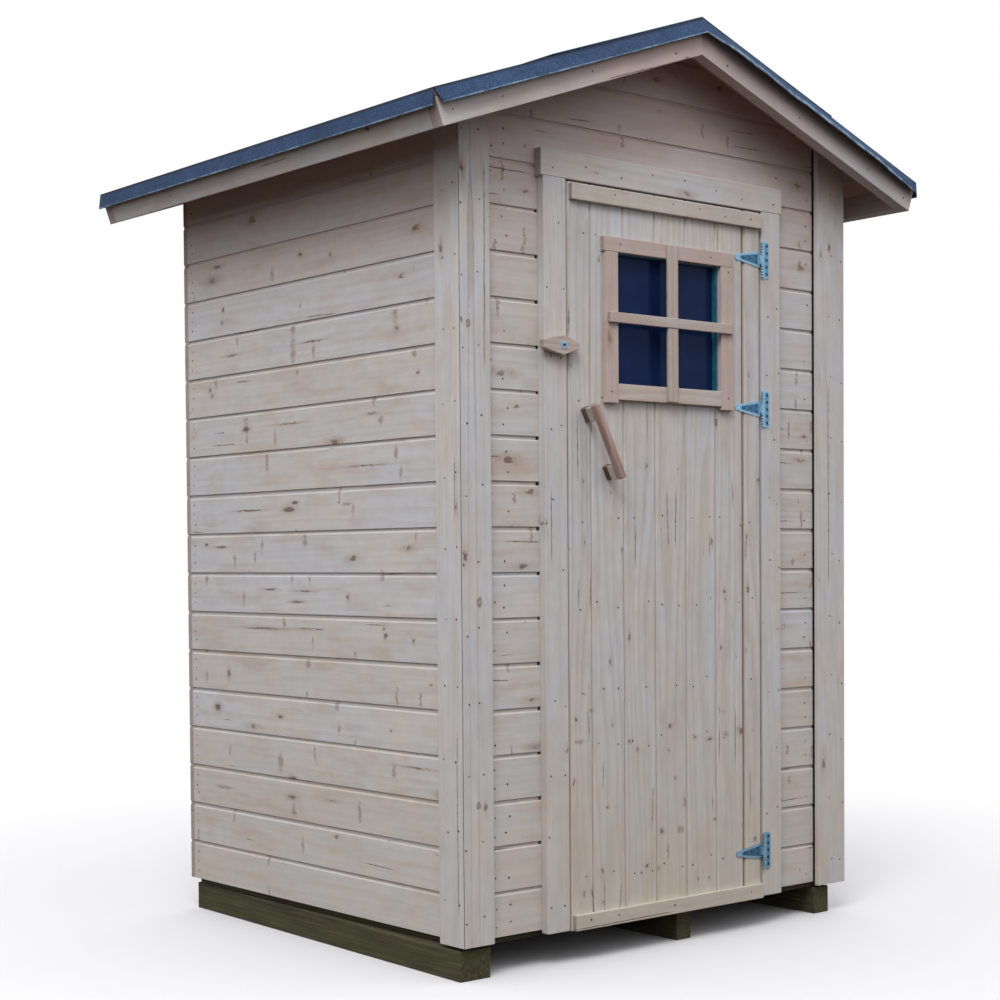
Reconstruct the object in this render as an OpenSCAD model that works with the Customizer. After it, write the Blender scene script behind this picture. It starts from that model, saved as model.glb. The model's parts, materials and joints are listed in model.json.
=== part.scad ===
// Timber outhouse with a gable roof, a ledged door and three bearers.
// Origin: centre of the wall plan, on the ground. +X right, +Y to the back, +Z up.

/* [Walls] */
// Width over the side walls' outer faces
wall_w = 1372; // [1200:4:1800]
// Depth over the front and back walls' outer faces
wall_d = 1287; // [1000:1:1800]
// Height of the side walls' boards above the door's top edge
above_door_h = 174; // [150:1:400]
// Thickness of the wall boards
board_t = 20; // [16:1:28]
// Gap between the front boards and the right-hand corner trim
board_gap = 2; // [2:0.5:15]

/* [Bearers and floor] */
// Height of the bearers
bearer_h = 75; // [50:1:150]
// Width of the left bearer
bearer_left_w = 93; // [60:1:150]
// Width of the centre bearer
bearer_centre_w = 54; // [40:1:150]
// Width of the right bearer
bearer_right_w = 61; // [40:1:150]
// Distance of the centre bearer's middle from the centre line
bearer_centre_x = 64; // [-100:1:100]
// Distance of the right bearer's outer face inside the wall face
bearer_right_inset = 30; // [0:1:100]
// Turn of the left bearer in plan, its back end inwards
bearer_left_turn = 1.75; // [-2:0.25:2]
// Height of the floor frame's beams
frame_h = 48; // [36:1:98]
// Thickness of the floor frame's beams
frame_t = 48; // [36:1:98]
// Height of the floor frame that shows under the wall boards
frame_reveal = 18; // [5:1:30]
// Thickness of the floor deck
floor_t = 20; // [16:1:28]

/* [Posts and plates] */
// Width of the corner posts along the front
corner_post_w = 98; // [98:1:148]
// Thickness of posts, plates and header
post_t = 48; // [36:1:60]

/* [Corner trims] */
// Thickness of the corner trims
trim_t = 20; // [14:1:28]
// Width of the front trim at the left corner
trim_left_w = 95; // [70:1:115]
// Width of the front trim at the right corner
trim_right_w = 114; // [80:1:115]
// Width of the side trims
trim_side_w = 96; // [70:1:145]
// How far trims and casings reach below the wall boards
trim_drop = 9; // [0:1:12]

/* [Door] */
// Width of the door
door_w = 708; // [600:2:760]
// Height of the door
door_h = 1880; // [1840:1:1900]
// Thickness of the door boards
door_t = 18; // [16:1:19]
// Distance of the door's middle from the centre line
door_x = -7; // [-20:1:20]
// How far the door reaches below the wall boards
door_drop = 11; // [0:1:14]
// Space between the closed door and the wall boards behind it
door_back_gap = 5; // [5:0.5:6]
// Gap between the door and the side casings
door_side_gap = 6.5; // [5.5:0.5:10]
// Gap between the door and the head casing
door_head_gap = 5; // [5:0.5:10]
// How far the door laps over each edge of the doorway
door_lap = 15; // [8:1:25]
// Height of the outer battens at the door's top and bottom
batten_h = 40; // [25:1:60]
// Thickness of the outer battens
batten_t = 13; // [8:1:20]
// Distance of the outer battens from the door's side edges
batten_inset = 5; // [3:1:20]
// Distance of the top batten below the door's top edge
batten_top_inset = 5; // [0:1:20]
// Height of the ledges on the door's inside
ledge_h = 66; // [50:1:68]
// Thickness of the ledges
ledge_t = 20; // [12:1:28]
// Gap between the ledges' ends and the doorway
ledge_gap = 10; // [6:1:40]

/* [Casings] */
// Thickness of the casings around the door
casing_t = 25; // [24:1:30]
// Width of the side casings
casing_w = 74; // [60:1:80]
// Height of the head casing
casing_head_h = 68; // [50:1:90]
// How far the head casing passes the side casings
casing_head_lap = 8; // [0:1:20]

/* [Window] */
// Distance of the window opening from the door's latch edge
window_left_in = 160; // [140:1:240]
// Distance of the window opening from the door's hinge edge
window_right_in = 168; // [160:1:240]
// Height of the window opening in the door
window_h = 333; // [200:1:500]
// Gap between the top ledge and the window opening
window_top_gap = 2.5; // [0:0.5:60]
// Gap between the window opening and the middle ledge
window_low_gap = 5.5; // [0:0.5:60]
// Thickness of the glass
glass_t = 4; // [3:1:5]
// Width of the slats at the window's sides
slat_side_w = 48; // [30:1:60]
// Height of the slat above the window
slat_top_h = 38; // [25:1:60]
// Height of the slat below the window
slat_bottom_h = 41; // [25:1:50]
// Thickness of the slats
slat_t = 15; // [8:1:20]
// How far the side slats run below the bottom slat
slat_tail = 9; // [0:1:15]
// Width of the glazing bars
bar_w = 37; // [20:1:50]
// Height of the cross bar
cross_bar_h = 26; // [15:1:40]
// Thickness of the glazing bars
bar_t = 10; // [6:1:14]
// Distance of the cross bar's ends from the slats' outer edges
bar_inset = 11; // [0:1:20]
// Distance of the upright bar's ends from the slats' outer edges
bar_end_inset = 2; // [0:1:10]

/* [Door hinges] */
// Length of the strap from the pin
strap_l = 106; // [70:1:160]
// Height of the strap at its wide end
strap_base_h = 45; // [40:1:60]
// Height of the strap at its tip
strap_tip_h = 10; // [6:1:20]
// Height of the strap's knuckle
strap_knuckle_h = 25; // [15:1:30]
// Width of the hinge leaf on the casing
leaf_w = 24; // [20:1:40]
// Height of the hinge leaf
leaf_h = 100; // [80:1:110]
// Thickness of the hinge plates
plate_t = 2.5; // [2:0.5:3]
// Radius of the hinge knuckles
knuckle_r = 4; // [3.5:0.5:4.5]
// Radius of the hinge pins
hinge_pin_r = 2; // [1.5:0.5:2.5]
// Distance of the top hinge's middle below the door's top edge
hinge_top_drop = 127; // [100:1:200]
// Height of the middle of the bottom hinge above the door's lower edge
hinge_low_h = 129; // [110:1:300]

/* [Handle] */
// Length of the handle bar
handle_l = 206; // [150:1:260]
// Width of the handle bar
handle_w = 18; // [15:1:30]
// Depth of the handle bar
handle_bar_t = 22; // [15:1:35]
// Thickness of the lower layer of each standoff
standoff_base_t = 16; // [10:1:25]
// Thickness of the upper layer of each standoff
standoff_top_t = 20; // [15:1:35]
// Length of each standoff along the bar
standoff_l = 38; // [25:1:50]
// Distance of the upper standoff from the bar's end
standoff_top_inset = 7; // [0:1:15]
// Distance of the lower standoff from the bar's end
standoff_low_inset = 0; // [0:1:15]
// Lean of the handle's top towards the latch side
handle_tilt = 27; // [0:1:35]
// Distance of the handle's middle from the door's latch edge
handle_x = 92; // [80:1:130]
// Distance of the handle's middle below the window opening
handle_drop = 150.5; // [150:0.5:400]

/* [Turn button] */
// Length of the button on the casing's side of its screw
button_out_l = 66; // [50:1:80]
// Length of the button on the door's side of its screw
button_in_l = 53; // [45:1:60]
// Height of the button at its screw
button_h = 50; // [35:1:50]
// Height of the button at its end on the casing's side
button_out_h = 22; // [12:1:30]
// Height of the button at its end on the door's side
button_in_h = 15; // [12:1:30]
// Thickness of the button
button_t = 18; // [12:1:25]
// Distance of the screw from the casing's door-side edge
button_screw_in = 28; // [27:1:36]
// Height of the screw above the window opening's lower edge
button_rise = 84.5; // [0:0.5:300]
// Radius of the washers
washer_r = 10; // [7:0.5:12]
// Thickness of the washer between button and casing
spacer_t = 3; // [3:0.5:5]
// Radius of the screw
screw_r = 3; // [2.5:0.5:4]
// Radius of the screw's head
screw_head_r = 6; // [4:0.5:8]
// Height of the screw's head
screw_head_h = 3; // [2:0.5:5]
// Thickness of the washer under the screw's head
washer_t = 1.5; // [1:0.5:3]

/* [Roof] */
// Slope of the roof
roof_pitch = 19.6; // [15:0.1:24]
// Reach of the roof deck past the side walls' faces
eave_reach = 183; // [100:1:260]
// Reach of the roof deck past the front and back walls' faces
gable_reach = 142; // [110:1:250]
// Thickness of the roof deck
deck_t = 18; // [15:1:28]
// Thickness of the roofing felt
felt_t = 3; // [2:0.5:5]
// Thickness of the barge rafters
barge_t = 36; // [20:1:48]
// Height of barge rafters and eave boards, square to the slope
barge_h = 68; // [50:1:120]
// Thickness of the eave boards
eave_board_t = 20; // [15:1:28]
// Length of the felt folded down at the roof's edges
flap_l = 44; // [25:1:60]
// Lean of the folded felt away from the roof at the gables
gable_flare = 28; // [0:1:35]
// Lean of the folded felt away from the roof at the eaves
eave_flare = 10; // [0:1:35]
// Cut back of the folded felt at the eave corners
flap_notch = 5; // [0:1:60]

/* [Hidden] */
$fn = 48;
// Small overlap that makes neighbouring shapes of one piece fuse
eps = 0.5;

// Colours
wood = [0.70, 0.65, 0.60];
inner_wood = [0.78, 0.70, 0.58];
slat_wood = [0.66, 0.56, 0.50];
handle_wood = [0.55, 0.41, 0.36];
treated_wood = [0.26, 0.26, 0.18];
felt_blue = [0.25, 0.36, 0.50];
zinc = [0.55, 0.68, 0.80];
glass_blue = [0.12, 0.20, 0.32, 0.6];

// Plan
half_w = wall_w / 2;
half_d = wall_d / 2;
front_y = -half_d;
inner_w = half_w - board_t;
inner_d = half_d - board_t;

// Heights
wall_z = bearer_h + frame_reveal;
deck_z = bearer_h + frame_h;
floor_z = deck_z + floor_t;
door_z = wall_z - door_drop;
door_top = door_z + door_h;
eave_z = door_top + above_door_h;
trim_z = wall_z - trim_drop;

// Door and doorway
door_x0 = door_x - door_w / 2;
door_x1 = door_x + door_w / 2;
door_back_y = front_y - door_back_gap;
door_front_y = door_back_y - door_t;
doorway_x0 = door_x0 + door_lap;
doorway_x1 = door_x1 - door_lap;
doorway_top = door_top - door_lap;
head_z = door_top + door_head_gap;
casing_front_y = front_y - casing_t;
front_right_end = half_w + trim_t - trim_right_w - board_gap;

// Window, between the top and middle ledges
hinge_top_z = door_top - hinge_top_drop;
window_x0 = door_x0 + window_left_in;
window_x1 = door_x1 - window_right_in;
window_z1 = hinge_top_z - ledge_h / 2 - window_top_gap;
window_z0 = window_z1 - window_h;
slat_front_y = door_front_y - slat_t;

// Hinges
hinge_mid_z = window_z0 - window_low_gap - ledge_h / 2;
hinge_heights = [door_z + hinge_low_h, hinge_mid_z, hinge_top_z];
hinge_x = door_x1 + door_side_gap / 2;
hinge_y = casing_front_y - knuckle_r;
pin_clearance = 0.08;
knuckle_gap = 0.5;
strap_clear = 1;
leaf_x = hinge_x + knuckle_r + strap_clear;

// Turn button
button_x = door_x0 - door_side_gap - button_screw_in;
button_back_y = casing_front_y - spacer_t;
button_running = 0.3;
button_height = window_z0 + button_rise;

// Roof
slope_c = cos(roof_pitch);
slope_s = sin(roof_pitch);
slope_l = (half_w + eave_reach) / slope_c;
ridge_z = eave_z + half_w * tan(roof_pitch);
roof_y = half_d + gable_reach;
felt_v = deck_t + felt_t;
felt_y = roof_y + felt_t;
// Hair gap between the roof deck and what it rests on
seat_gap = 0.05;

// Point of the right-hand slope: u down the slope from the ridge, v square to it
function slope_point(u, v) = [u * slope_c + v * slope_s, ridge_z - u * slope_s + v * slope_c];
// Top of what stands under the roof deck at a distance from the centre line
function underside(x) = ridge_z - seat_gap - abs(x) * tan(roof_pitch);

// Box from its low and high corners
module box(low, high) {
    translate(low) cube(high - low);
}

// Profile in the XZ plane drawn out along Y
module along_y(y0, y1) {
    translate([0, y1, 0]) rotate([90, 0, 0]) linear_extrude(y1 - y0) children();
}

module both_sides() {
    children();
    mirror([1, 0, 0]) children();
}

// Band of the right-hand slope between two heights square to the slope, cut plumb at the ridge
module slope_band(v0, v1) {
    polygon([
        [0, ridge_z + v0 / slope_c], slope_point(slope_l, v0),
        slope_point(slope_l, v1), [0, ridge_z + v1 / slope_c]
    ]);
}

// Bearers
module bearer(x0, w, turn = 0) {
    color(treated_wood) translate([x0, -half_d, 0]) rotate([0, 0, -turn]) box([0, 0, 0], [w, 2 * half_d, bearer_h]);
}

module bearer_left() {
    bearer(-half_w - trim_t, bearer_left_w, bearer_left_turn);
}

module bearer_centre() {
    bearer(bearer_centre_x - bearer_centre_w / 2, bearer_centre_w);
}

module bearer_right() {
    bearer(half_w - bearer_right_inset - bearer_right_w, bearer_right_w);
}

// Floor
module floor_frame_ends() {
    color(treated_wood) for (y = [-inner_d, inner_d - frame_t])
        box([-inner_w, y, bearer_h], [inner_w, y + frame_t, deck_z]);
}

module floor_frame_sides() {
    color(treated_wood) both_sides()
        box([inner_w - frame_t, -inner_d + frame_t, bearer_h], [inner_w, inner_d - frame_t, deck_z]);
}

module floor_deck() {
    color(inner_wood) box([-inner_w, -inner_d, deck_z], [inner_w, inner_d, floor_z]);
}

// Walls
module side_wall() {
    color(wood) along_y(-half_d, inner_d) polygon([
        [inner_w, wall_z], [half_w, wall_z], [half_w, underside(half_w)], [inner_w, underside(inner_w)]
    ]);
}

module right_wall() {
    side_wall();
}

module left_wall() {
    mirror([1, 0, 0]) side_wall();
}

// Gable-topped wall between two X positions, from a height up to the roof
module gable_wall(x0, x1, z0, y0) {
    color(wood) along_y(y0, y0 + board_t) polygon([
        [x0, z0], [x1, z0], [x1, underside(x1)], [0, underside(0)], [x0, underside(x0)]
    ]);
}

module back_wall() {
    gable_wall(-half_w, half_w, wall_z, inner_d);
}

module front_wall_gable() {
    gable_wall(-inner_w, front_right_end, doorway_top, -half_d);
}

module front_wall_left() {
    color(wood) box([-inner_w, -half_d, wall_z], [doorway_x0, -inner_d, doorway_top]);
}

module front_wall_right() {
    color(wood) box([doorway_x1, -half_d, wall_z], [front_right_end, -inner_d, doorway_top]);
}

module front_wall_sill() {
    color(wood) box([doorway_x0, -half_d, wall_z], [doorway_x1, -inner_d, floor_z]);
}

// Inner frame
module corner_posts() {
    color(inner_wood) both_sides() for (y = [-inner_d, inner_d - post_t])
        box([inner_w - corner_post_w, y, floor_z], [inner_w, y + post_t, eave_z - post_t]);
}

module door_posts() {
    color(inner_wood) for (x = [doorway_x0 - post_t, doorway_x1])
        box([x, -inner_d, floor_z], [x + post_t, -inner_d + post_t, doorway_top]);
}

module door_header() {
    color(inner_wood) box(
        [doorway_x0 - post_t, -inner_d, doorway_top],
        [doorway_x1 + post_t, -inner_d + post_t, doorway_top + post_t]
    );
}

module wall_plates() {
    color(inner_wood) both_sides() along_y(-inner_d, inner_d) polygon([
        [inner_w - post_t, eave_z - post_t], [inner_w, eave_z - post_t],
        [inner_w, underside(inner_w)], [inner_w - post_t, underside(inner_w - post_t)]
    ]);
}

// Corner trims, mitred along the corner
module trim_front(w) {
    color(wood) intersection() {
        translate([0, 0, trim_z]) linear_extrude(ridge_z) polygon([
            [half_w + trim_t - w, -half_d - trim_t], [half_w + trim_t, -half_d - trim_t],
            [half_w, -half_d], [half_w + trim_t - w, -half_d]
        ]);
        under_roof();
    }
}

module trim_side() {
    color(wood) intersection() {
        translate([0, 0, trim_z]) linear_extrude(ridge_z) polygon([
            [half_w + trim_t, -half_d - trim_t], [half_w + trim_t, -half_d - trim_t + trim_side_w],
            [half_w, -half_d - trim_t + trim_side_w], [half_w, -half_d]
        ]);
        under_roof();
    }
}

// Space below the right-hand roof slope near the front corner
module under_roof() {
    along_y(-roof_y, half_d) polygon([
        [0, 0], [half_w + eave_reach, 0], [half_w + eave_reach, underside(half_w + eave_reach)], [0, underside(0)]
    ]);
}

module trim_front_right() {
    trim_front(trim_right_w);
}

module trim_front_left() {
    mirror([1, 0, 0]) trim_front(trim_left_w);
}

module trim_side_right() {
    trim_side();
}

module trim_side_left() {
    mirror([1, 0, 0]) trim_side();
}

// Casings
module side_casing(x0) {
    color(wood) box([x0, casing_front_y, trim_z], [x0 + casing_w, front_y, head_z]);
}

module casing_left() {
    side_casing(door_x0 - door_side_gap - casing_w);
}

module casing_right() {
    side_casing(door_x1 + door_side_gap);
}

module casing_head() {
    reach = door_side_gap + casing_w + casing_head_lap;
    color(wood) box([door_x0 - reach, casing_front_y, head_z], [door_x1 + reach, front_y, head_z + casing_head_h]);
}

// Roof
module roof_deck_right() {
    color(inner_wood) along_y(-roof_y, roof_y) slope_band(0, deck_t);
}

module roof_deck_left() {
    mirror([1, 0, 0]) roof_deck_right();
}

module barge(y0) {
    color(wood) along_y(y0, y0 + barge_t) slope_band(-barge_h, -seat_gap);
}

module barge_front_right() {
    barge(-roof_y);
}

module barge_front_left() {
    mirror([1, 0, 0]) barge(-roof_y);
}

module barge_back_right() {
    barge(roof_y - barge_t);
}

module barge_back_left() {
    mirror([1, 0, 0]) barge(roof_y - barge_t);
}

module eave_boards() {
    color(wood) both_sides() along_y(-roof_y + barge_t, roof_y - barge_t) polygon([
        slope_point(slope_l - eave_board_t, -barge_h), slope_point(slope_l, -barge_h),
        slope_point(slope_l, -seat_gap), slope_point(slope_l - eave_board_t, -seat_gap)
    ]);
}

// Felt over one slope with its folded edges
module felt_side() {
    edge_top = slope_point(slope_l, felt_v);
    edge_low = slope_point(slope_l, deck_t);
    hang = [flap_l * sin(eave_flare), -flap_l * cos(eave_flare)];
    color(felt_blue) {
        along_y(-felt_y, felt_y) slope_band(deck_t, felt_v);
        along_y(-felt_y, felt_y) polygon([
            edge_low, edge_low + hang, edge_top + hang, edge_top
        ]);
        gable_flap();
        mirror([0, 1, 0]) gable_flap();
    }
}

// Everything to the right of the ridge
module right_half() {
    box([0, -2 * roof_y, 0], [2 * slope_l, 2 * roof_y, 2 * ridge_z]);
}

// Felt folded down over the front edge of the right-hand slope, mitred at the ridge
module gable_flap() {
    intersection() {
        translate([0, -felt_y, ridge_z]) rotate([0, roof_pitch, 0]) translate([0, 0, felt_v])
            rotate([90 - gable_flare, 0, 0]) translate([0, 0, -felt_t]) linear_extrude(felt_t)
                polygon([[-flap_l, 0], [slope_l, 0], [slope_l - flap_notch, -flap_l], [-flap_l, -flap_l]]);
        right_half();
    }
}

module roof_felt_right() {
    felt_side();
}

module roof_felt_left() {
    mirror([1, 0, 0]) felt_side();
}

// Door
module door_leaf() {
    color(wood) difference() {
        box([door_x0, door_front_y, door_z], [door_x1, door_back_y, door_top]);
        box([window_x0, door_front_y - eps, window_z0], [window_x1, door_back_y + eps, window_z1]);
    }
}

module door_battens() {
    color(wood) for (z = [door_z, door_top - batten_top_inset - batten_h]) box(
        [door_x0 + batten_inset, door_front_y - batten_t, z],
        [door_x1 - batten_inset, door_front_y, z + batten_h]
    );
}

module door_ledges() {
    color(inner_wood) for (z = hinge_heights) box(
        [doorway_x0 + ledge_gap, door_back_y, z - ledge_h / 2],
        [doorway_x1 - ledge_gap, door_back_y + ledge_t, z + ledge_h / 2]
    );
}

// Window
module window_slats() {
    color(slat_wood) {
        for (x = [window_x0 - slat_side_w, window_x1]) box(
            [x, slat_front_y, window_z0 - slat_bottom_h - slat_tail],
            [x + slat_side_w, door_front_y, window_z1]
        );
        box([window_x0 - slat_side_w, slat_front_y, window_z1],
            [window_x1 + slat_side_w, door_front_y, window_z1 + slat_top_h]);
        box([window_x0, slat_front_y, window_z0 - slat_bottom_h], [window_x1, door_front_y, window_z0]);
    }
}

module window_bars() {
    mid_x = (window_x0 + window_x1) / 2;
    mid_z = (window_z0 + window_z1) / 2;
    color(slat_wood) {
        box([mid_x - bar_w / 2, slat_front_y - bar_t, window_z0 - slat_bottom_h + bar_end_inset],
            [mid_x + bar_w / 2, slat_front_y, window_z1 + slat_top_h - bar_end_inset]);
        box([window_x0 - slat_side_w + bar_inset, slat_front_y - bar_t, mid_z - cross_bar_h / 2],
            [window_x1 + slat_side_w - bar_inset, slat_front_y, mid_z + cross_bar_h / 2]);
    }
}

module window_glass() {
    color(glass_blue) box([window_x0, door_back_y - glass_t, window_z0], [window_x1, door_back_y, window_z1]);
}

// Hinges
module knuckle(z0, z1, r) {
    translate([hinge_x, hinge_y, z0]) cylinder(r = r, h = z1 - z0);
}

module hinge_leaf(z) {
    inner = strap_knuckle_h / 2 + knuckle_gap;
    outer = strap_base_h / 2;
    box([leaf_x, casing_front_y - plate_t, z - leaf_h / 2], [leaf_x + leaf_w, casing_front_y, z + leaf_h / 2]);
    for (side = [0, 1]) {
        low = side == 0 ? z - outer : z + inner;
        difference() {
            knuckle(low, low + outer - inner, knuckle_r);
            translate([hinge_x - knuckle_r, casing_front_y, low - eps]) cube([2 * knuckle_r, knuckle_r, outer]);
        }
        box([hinge_x, casing_front_y - plate_t, low], [leaf_x, casing_front_y, low + outer - inner]);
    }
    knuckle(z - outer, z + outer, hinge_pin_r);
}

module hinge_leaves() {
    color(zinc) for (z = hinge_heights) hinge_leaf(z);
}

module hinge_strap(z) {
    strap_x1 = hinge_x - knuckle_r - strap_clear;
    difference() {
        union() {
            translate([0, door_front_y, 0]) rotate([90, 0, 0]) linear_extrude(plate_t) polygon([
                [strap_x1, z - strap_base_h / 2], [strap_x1, z + strap_base_h / 2],
                [hinge_x - strap_l, z + strap_tip_h / 2], [hinge_x - strap_l, z - strap_tip_h / 2]
            ]);
            box([strap_x1 - plate_t, hinge_y, z - strap_knuckle_h / 2],
                [hinge_x - hinge_pin_r, door_front_y, z + strap_knuckle_h / 2]);
            knuckle(z - strap_knuckle_h / 2, z + strap_knuckle_h / 2, knuckle_r);
        }
        knuckle(z - strap_knuckle_h, z + strap_knuckle_h, hinge_pin_r + pin_clearance);
    }
}

module hinge_straps() {
    color(zinc) for (z = hinge_heights) hinge_strap(z);
}

// Handle
module on_handle() {
    translate([door_x0 + handle_x, door_front_y, window_z0 - handle_drop]) rotate([0, -handle_tilt, 0]) children();
}

module handle_bar() {
    back = -standoff_base_t - standoff_top_t;
    color(handle_wood) on_handle()
        box([-handle_w / 2, back - handle_bar_t, -handle_l / 2], [handle_w / 2, back, handle_l / 2]);
}

module handle_standoffs() {
    color(wood) on_handle() for (z = [-handle_l / 2 + standoff_low_inset, handle_l / 2 - standoff_top_inset - standoff_l]) {
        box([-handle_w / 2, -standoff_base_t, z], [handle_w / 2, 0, z + standoff_l]);
        box([-handle_w / 2, -standoff_base_t - standoff_top_t, z],
            [handle_w / 2, -standoff_base_t, z + standoff_l]);
    }
}

// Turn button on its screw
module at_button(y) {
    translate([button_x, y, button_height]) rotate([90, 0, 0]) children();
}

module turn_button() {
    color(wood) at_button(button_back_y - button_running) difference() {
        linear_extrude(button_t) polygon([
            [-button_out_l, -button_out_h / 2], [0, -button_h / 2], [button_in_l, -button_in_h / 2],
            [button_in_l, button_in_h / 2], [0, button_h / 2], [-button_out_l, button_out_h / 2]
        ]);
        translate([0, 0, -eps]) cylinder(r = screw_r + pin_clearance, h = button_t + 2 * eps);
    }
}

module button_screw() {
    stack = spacer_t + button_t + 2 * button_running;
    color(zinc) at_button(casing_front_y) {
        cylinder(r = washer_r, h = spacer_t);
        cylinder(r = screw_r, h = stack + washer_t);
        translate([0, 0, stack]) cylinder(r = washer_r, h = washer_t);
        translate([0, 0, stack + washer_t]) cylinder(r = screw_head_r, h = screw_head_h);
    }
}

bearer_left();
bearer_centre();
bearer_right();
floor_frame_ends();
floor_frame_sides();
floor_deck();
left_wall();
right_wall();
back_wall();
front_wall_left();
front_wall_right();
front_wall_gable();
front_wall_sill();
corner_posts();
door_posts();
door_header();
wall_plates();
trim_front_left();
trim_front_right();
trim_side_left();
trim_side_right();
casing_left();
casing_right();
casing_head();
roof_deck_left();
roof_deck_right();
barge_front_left();
barge_front_right();
barge_back_left();
barge_back_right();
eave_boards();
roof_felt_left();
roof_felt_right();
hinge_leaves();
button_screw();
door_leaf();
door_battens();
door_ledges();
window_slats();
window_bars();
window_glass();
hinge_straps();
handle_bar();
handle_standoffs();
turn_button();
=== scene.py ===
"""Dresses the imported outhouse: pale planed boards, blue mineral felt, zinc hinges and treated bearers."""

import json
import math
import random

import bmesh
import bpy
from mathutils import Matrix, Vector


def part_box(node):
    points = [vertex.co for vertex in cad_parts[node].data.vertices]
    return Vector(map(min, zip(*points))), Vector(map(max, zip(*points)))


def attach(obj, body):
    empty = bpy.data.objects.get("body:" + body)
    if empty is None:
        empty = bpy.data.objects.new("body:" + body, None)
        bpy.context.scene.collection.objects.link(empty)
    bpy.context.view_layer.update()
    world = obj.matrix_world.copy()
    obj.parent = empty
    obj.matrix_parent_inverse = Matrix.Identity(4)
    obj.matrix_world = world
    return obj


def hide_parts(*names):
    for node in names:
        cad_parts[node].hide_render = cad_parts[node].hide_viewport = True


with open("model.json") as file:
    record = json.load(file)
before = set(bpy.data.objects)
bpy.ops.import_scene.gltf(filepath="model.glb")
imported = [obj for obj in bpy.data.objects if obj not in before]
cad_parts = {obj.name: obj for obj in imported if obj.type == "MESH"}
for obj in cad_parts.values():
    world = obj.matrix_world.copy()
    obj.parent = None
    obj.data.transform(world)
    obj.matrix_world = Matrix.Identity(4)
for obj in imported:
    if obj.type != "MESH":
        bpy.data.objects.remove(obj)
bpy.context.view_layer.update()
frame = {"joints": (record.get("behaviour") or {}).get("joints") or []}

bl_info = {
    "name": "Timber Outhouse",
    "version": (1, 0, 0),
    "blender": (4, 5, 0),
    "location": "View3D > Sidebar > Outhouse",
    "description": "Builds the boards, felt, hardware and stage of a small timber outhouse",
    "category": "Object",
}

MM = 0.001
X, Y, Z = Vector((1, 0, 0)), Vector((0, 1, 0)), Vector((0, 0, 1))
HULL, DOOR, BUTTON = "building", "door", "turn_button"
POST = 48 * MM  # side of the posts and beams
DECK = 18 * MM  # thickness of the roof boards


def linear(code):
    """Linear RGBA of an sRGB hex colour."""
    parts = [int(code[i:i + 2], 16) / 255 for i in (1, 3, 5)]
    return tuple(c / 12.92 if c <= 0.04045 else ((c + 0.055) / 1.055) ** 2.4 for c in parts) + (1.0,)


def size_field(name, description, millimetres):
    """A length of a property group, with its default in mm."""
    return bpy.props.FloatProperty(
        name=name, description=description, default=millimetres * MM, precision=4, unit="LENGTH")


def colour_field(name, description, code):
    """A colour of a property group, with its default as an sRGB hex code."""
    return bpy.props.FloatVectorProperty(
        name=name, description=description, default=linear(code), size=4, min=0, max=1, subtype="COLOR")


class OuthouseSizes(bpy.types.PropertyGroup):
    """Sizes of the joinery and fixings."""

    board_pitch: size_field("Wall board cover", "Height that one wall board covers", 112)
    board_gap: size_field("Wall board gap", "Height of the open joint between wall boards", 8.2)
    board_lip: size_field("Wall board lip", "Chamfer along the wall boards' edges", 3)
    joint_depth: size_field("Joint depth", "Depth of a joint down to the tongue", 3.7)
    door_pitch: size_field("Door board cover", "Width that one door board covers", 113.6)
    door_first: size_field("First door board", "Width of the door's board at the latch edge", 76.5)
    door_gap: size_field("Door board gap", "Width of the tight joints between door boards", 0.2)
    door_vee: size_field("Door board chamfer", "Chamfer along the door boards' edges", 4.2)
    door_open_gap: size_field("Open door joint", "Width of the door's one open joint", 8)
    arris: size_field("Arris", "Easing of planed edges", 1.6)
    mitre_gap: size_field("Mitre gap", "Half of the open line along the corner mitres", 0.7)
    nail_radius: size_field("Nail radius", "Radius of the nail heads", 2.6)
    screw_radius: size_field("Screw radius", "Radius of the hinge screws' heads", 4.2)
    felt: size_field("Felt thickness", "Thickness of the roofing felt", 3)
    flap: size_field("Felt flap", "Length of the felt folded down at the roof's edges", 44)
    deck_cover: size_field("Roof board cover", "Width that one roof board covers", 102.5)


class OuthouseColours(bpy.types.PropertyGroup):
    """Colours of the finishes."""

    wood_grey: colour_field("Wood, grey", "Cool grey of planed sapwood", "#BFC0C2")
    wood_pale: colour_field("Wood, pale", "Main colour of the planed boards", "#C3BFBA")
    wood_tan: colour_field("Wood, tan", "Warmer bands of heartwood", "#B39F8C")
    knot: colour_field("Knot", "Core of the knots", "#68584F")
    inner: colour_field("Inner wood", "Unweathered wood inside and under the roof", "#9C806C")
    slat: colour_field("Window slats", "Reddish wood of the window slats", "#B9A8A3")
    handle: colour_field("Handle", "Reddish brown wood of the door handle", "#9C8077")
    treated: colour_field("Treated wood", "Olive brown of pressure-treated bearers", "#474331")
    felt: colour_field("Roofing felt", "Slate blue mineral granules", "#273D60")
    zinc: colour_field("Zinc", "Blue passivated zinc plating", "#93BDD6")
    nail: colour_field("Nails", "Dull dark steel of the nail heads", "#4A403A")
    glass: colour_field("Window glass", "Navy of the dark window", "#0E1C3C")
    # Painted shade and sky reflection along the edges of the window opening
    bead: colour_field("Glazing liner", "Blue-green liner of the window opening", "#1F5C74")


class OuthouseStage(bpy.types.PropertyGroup):
    """Light and camera."""

    sky: bpy.props.FloatProperty(name="Sky", description="Strength of the soft sky", default=1.3)
    lamp: bpy.props.FloatProperty(name="Lamp", description="Power of the front lamp in watts", default=372.0)
    lens: bpy.props.FloatProperty(name="Lens", description="Focal length in millimetres", default=66.887)


def settings():
    """The scene's sizes, colours and stage values."""
    scene = bpy.context.scene
    return scene.outhouse_sizes, scene.outhouse_colours, scene.outhouse_stage


# Materials


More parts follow.
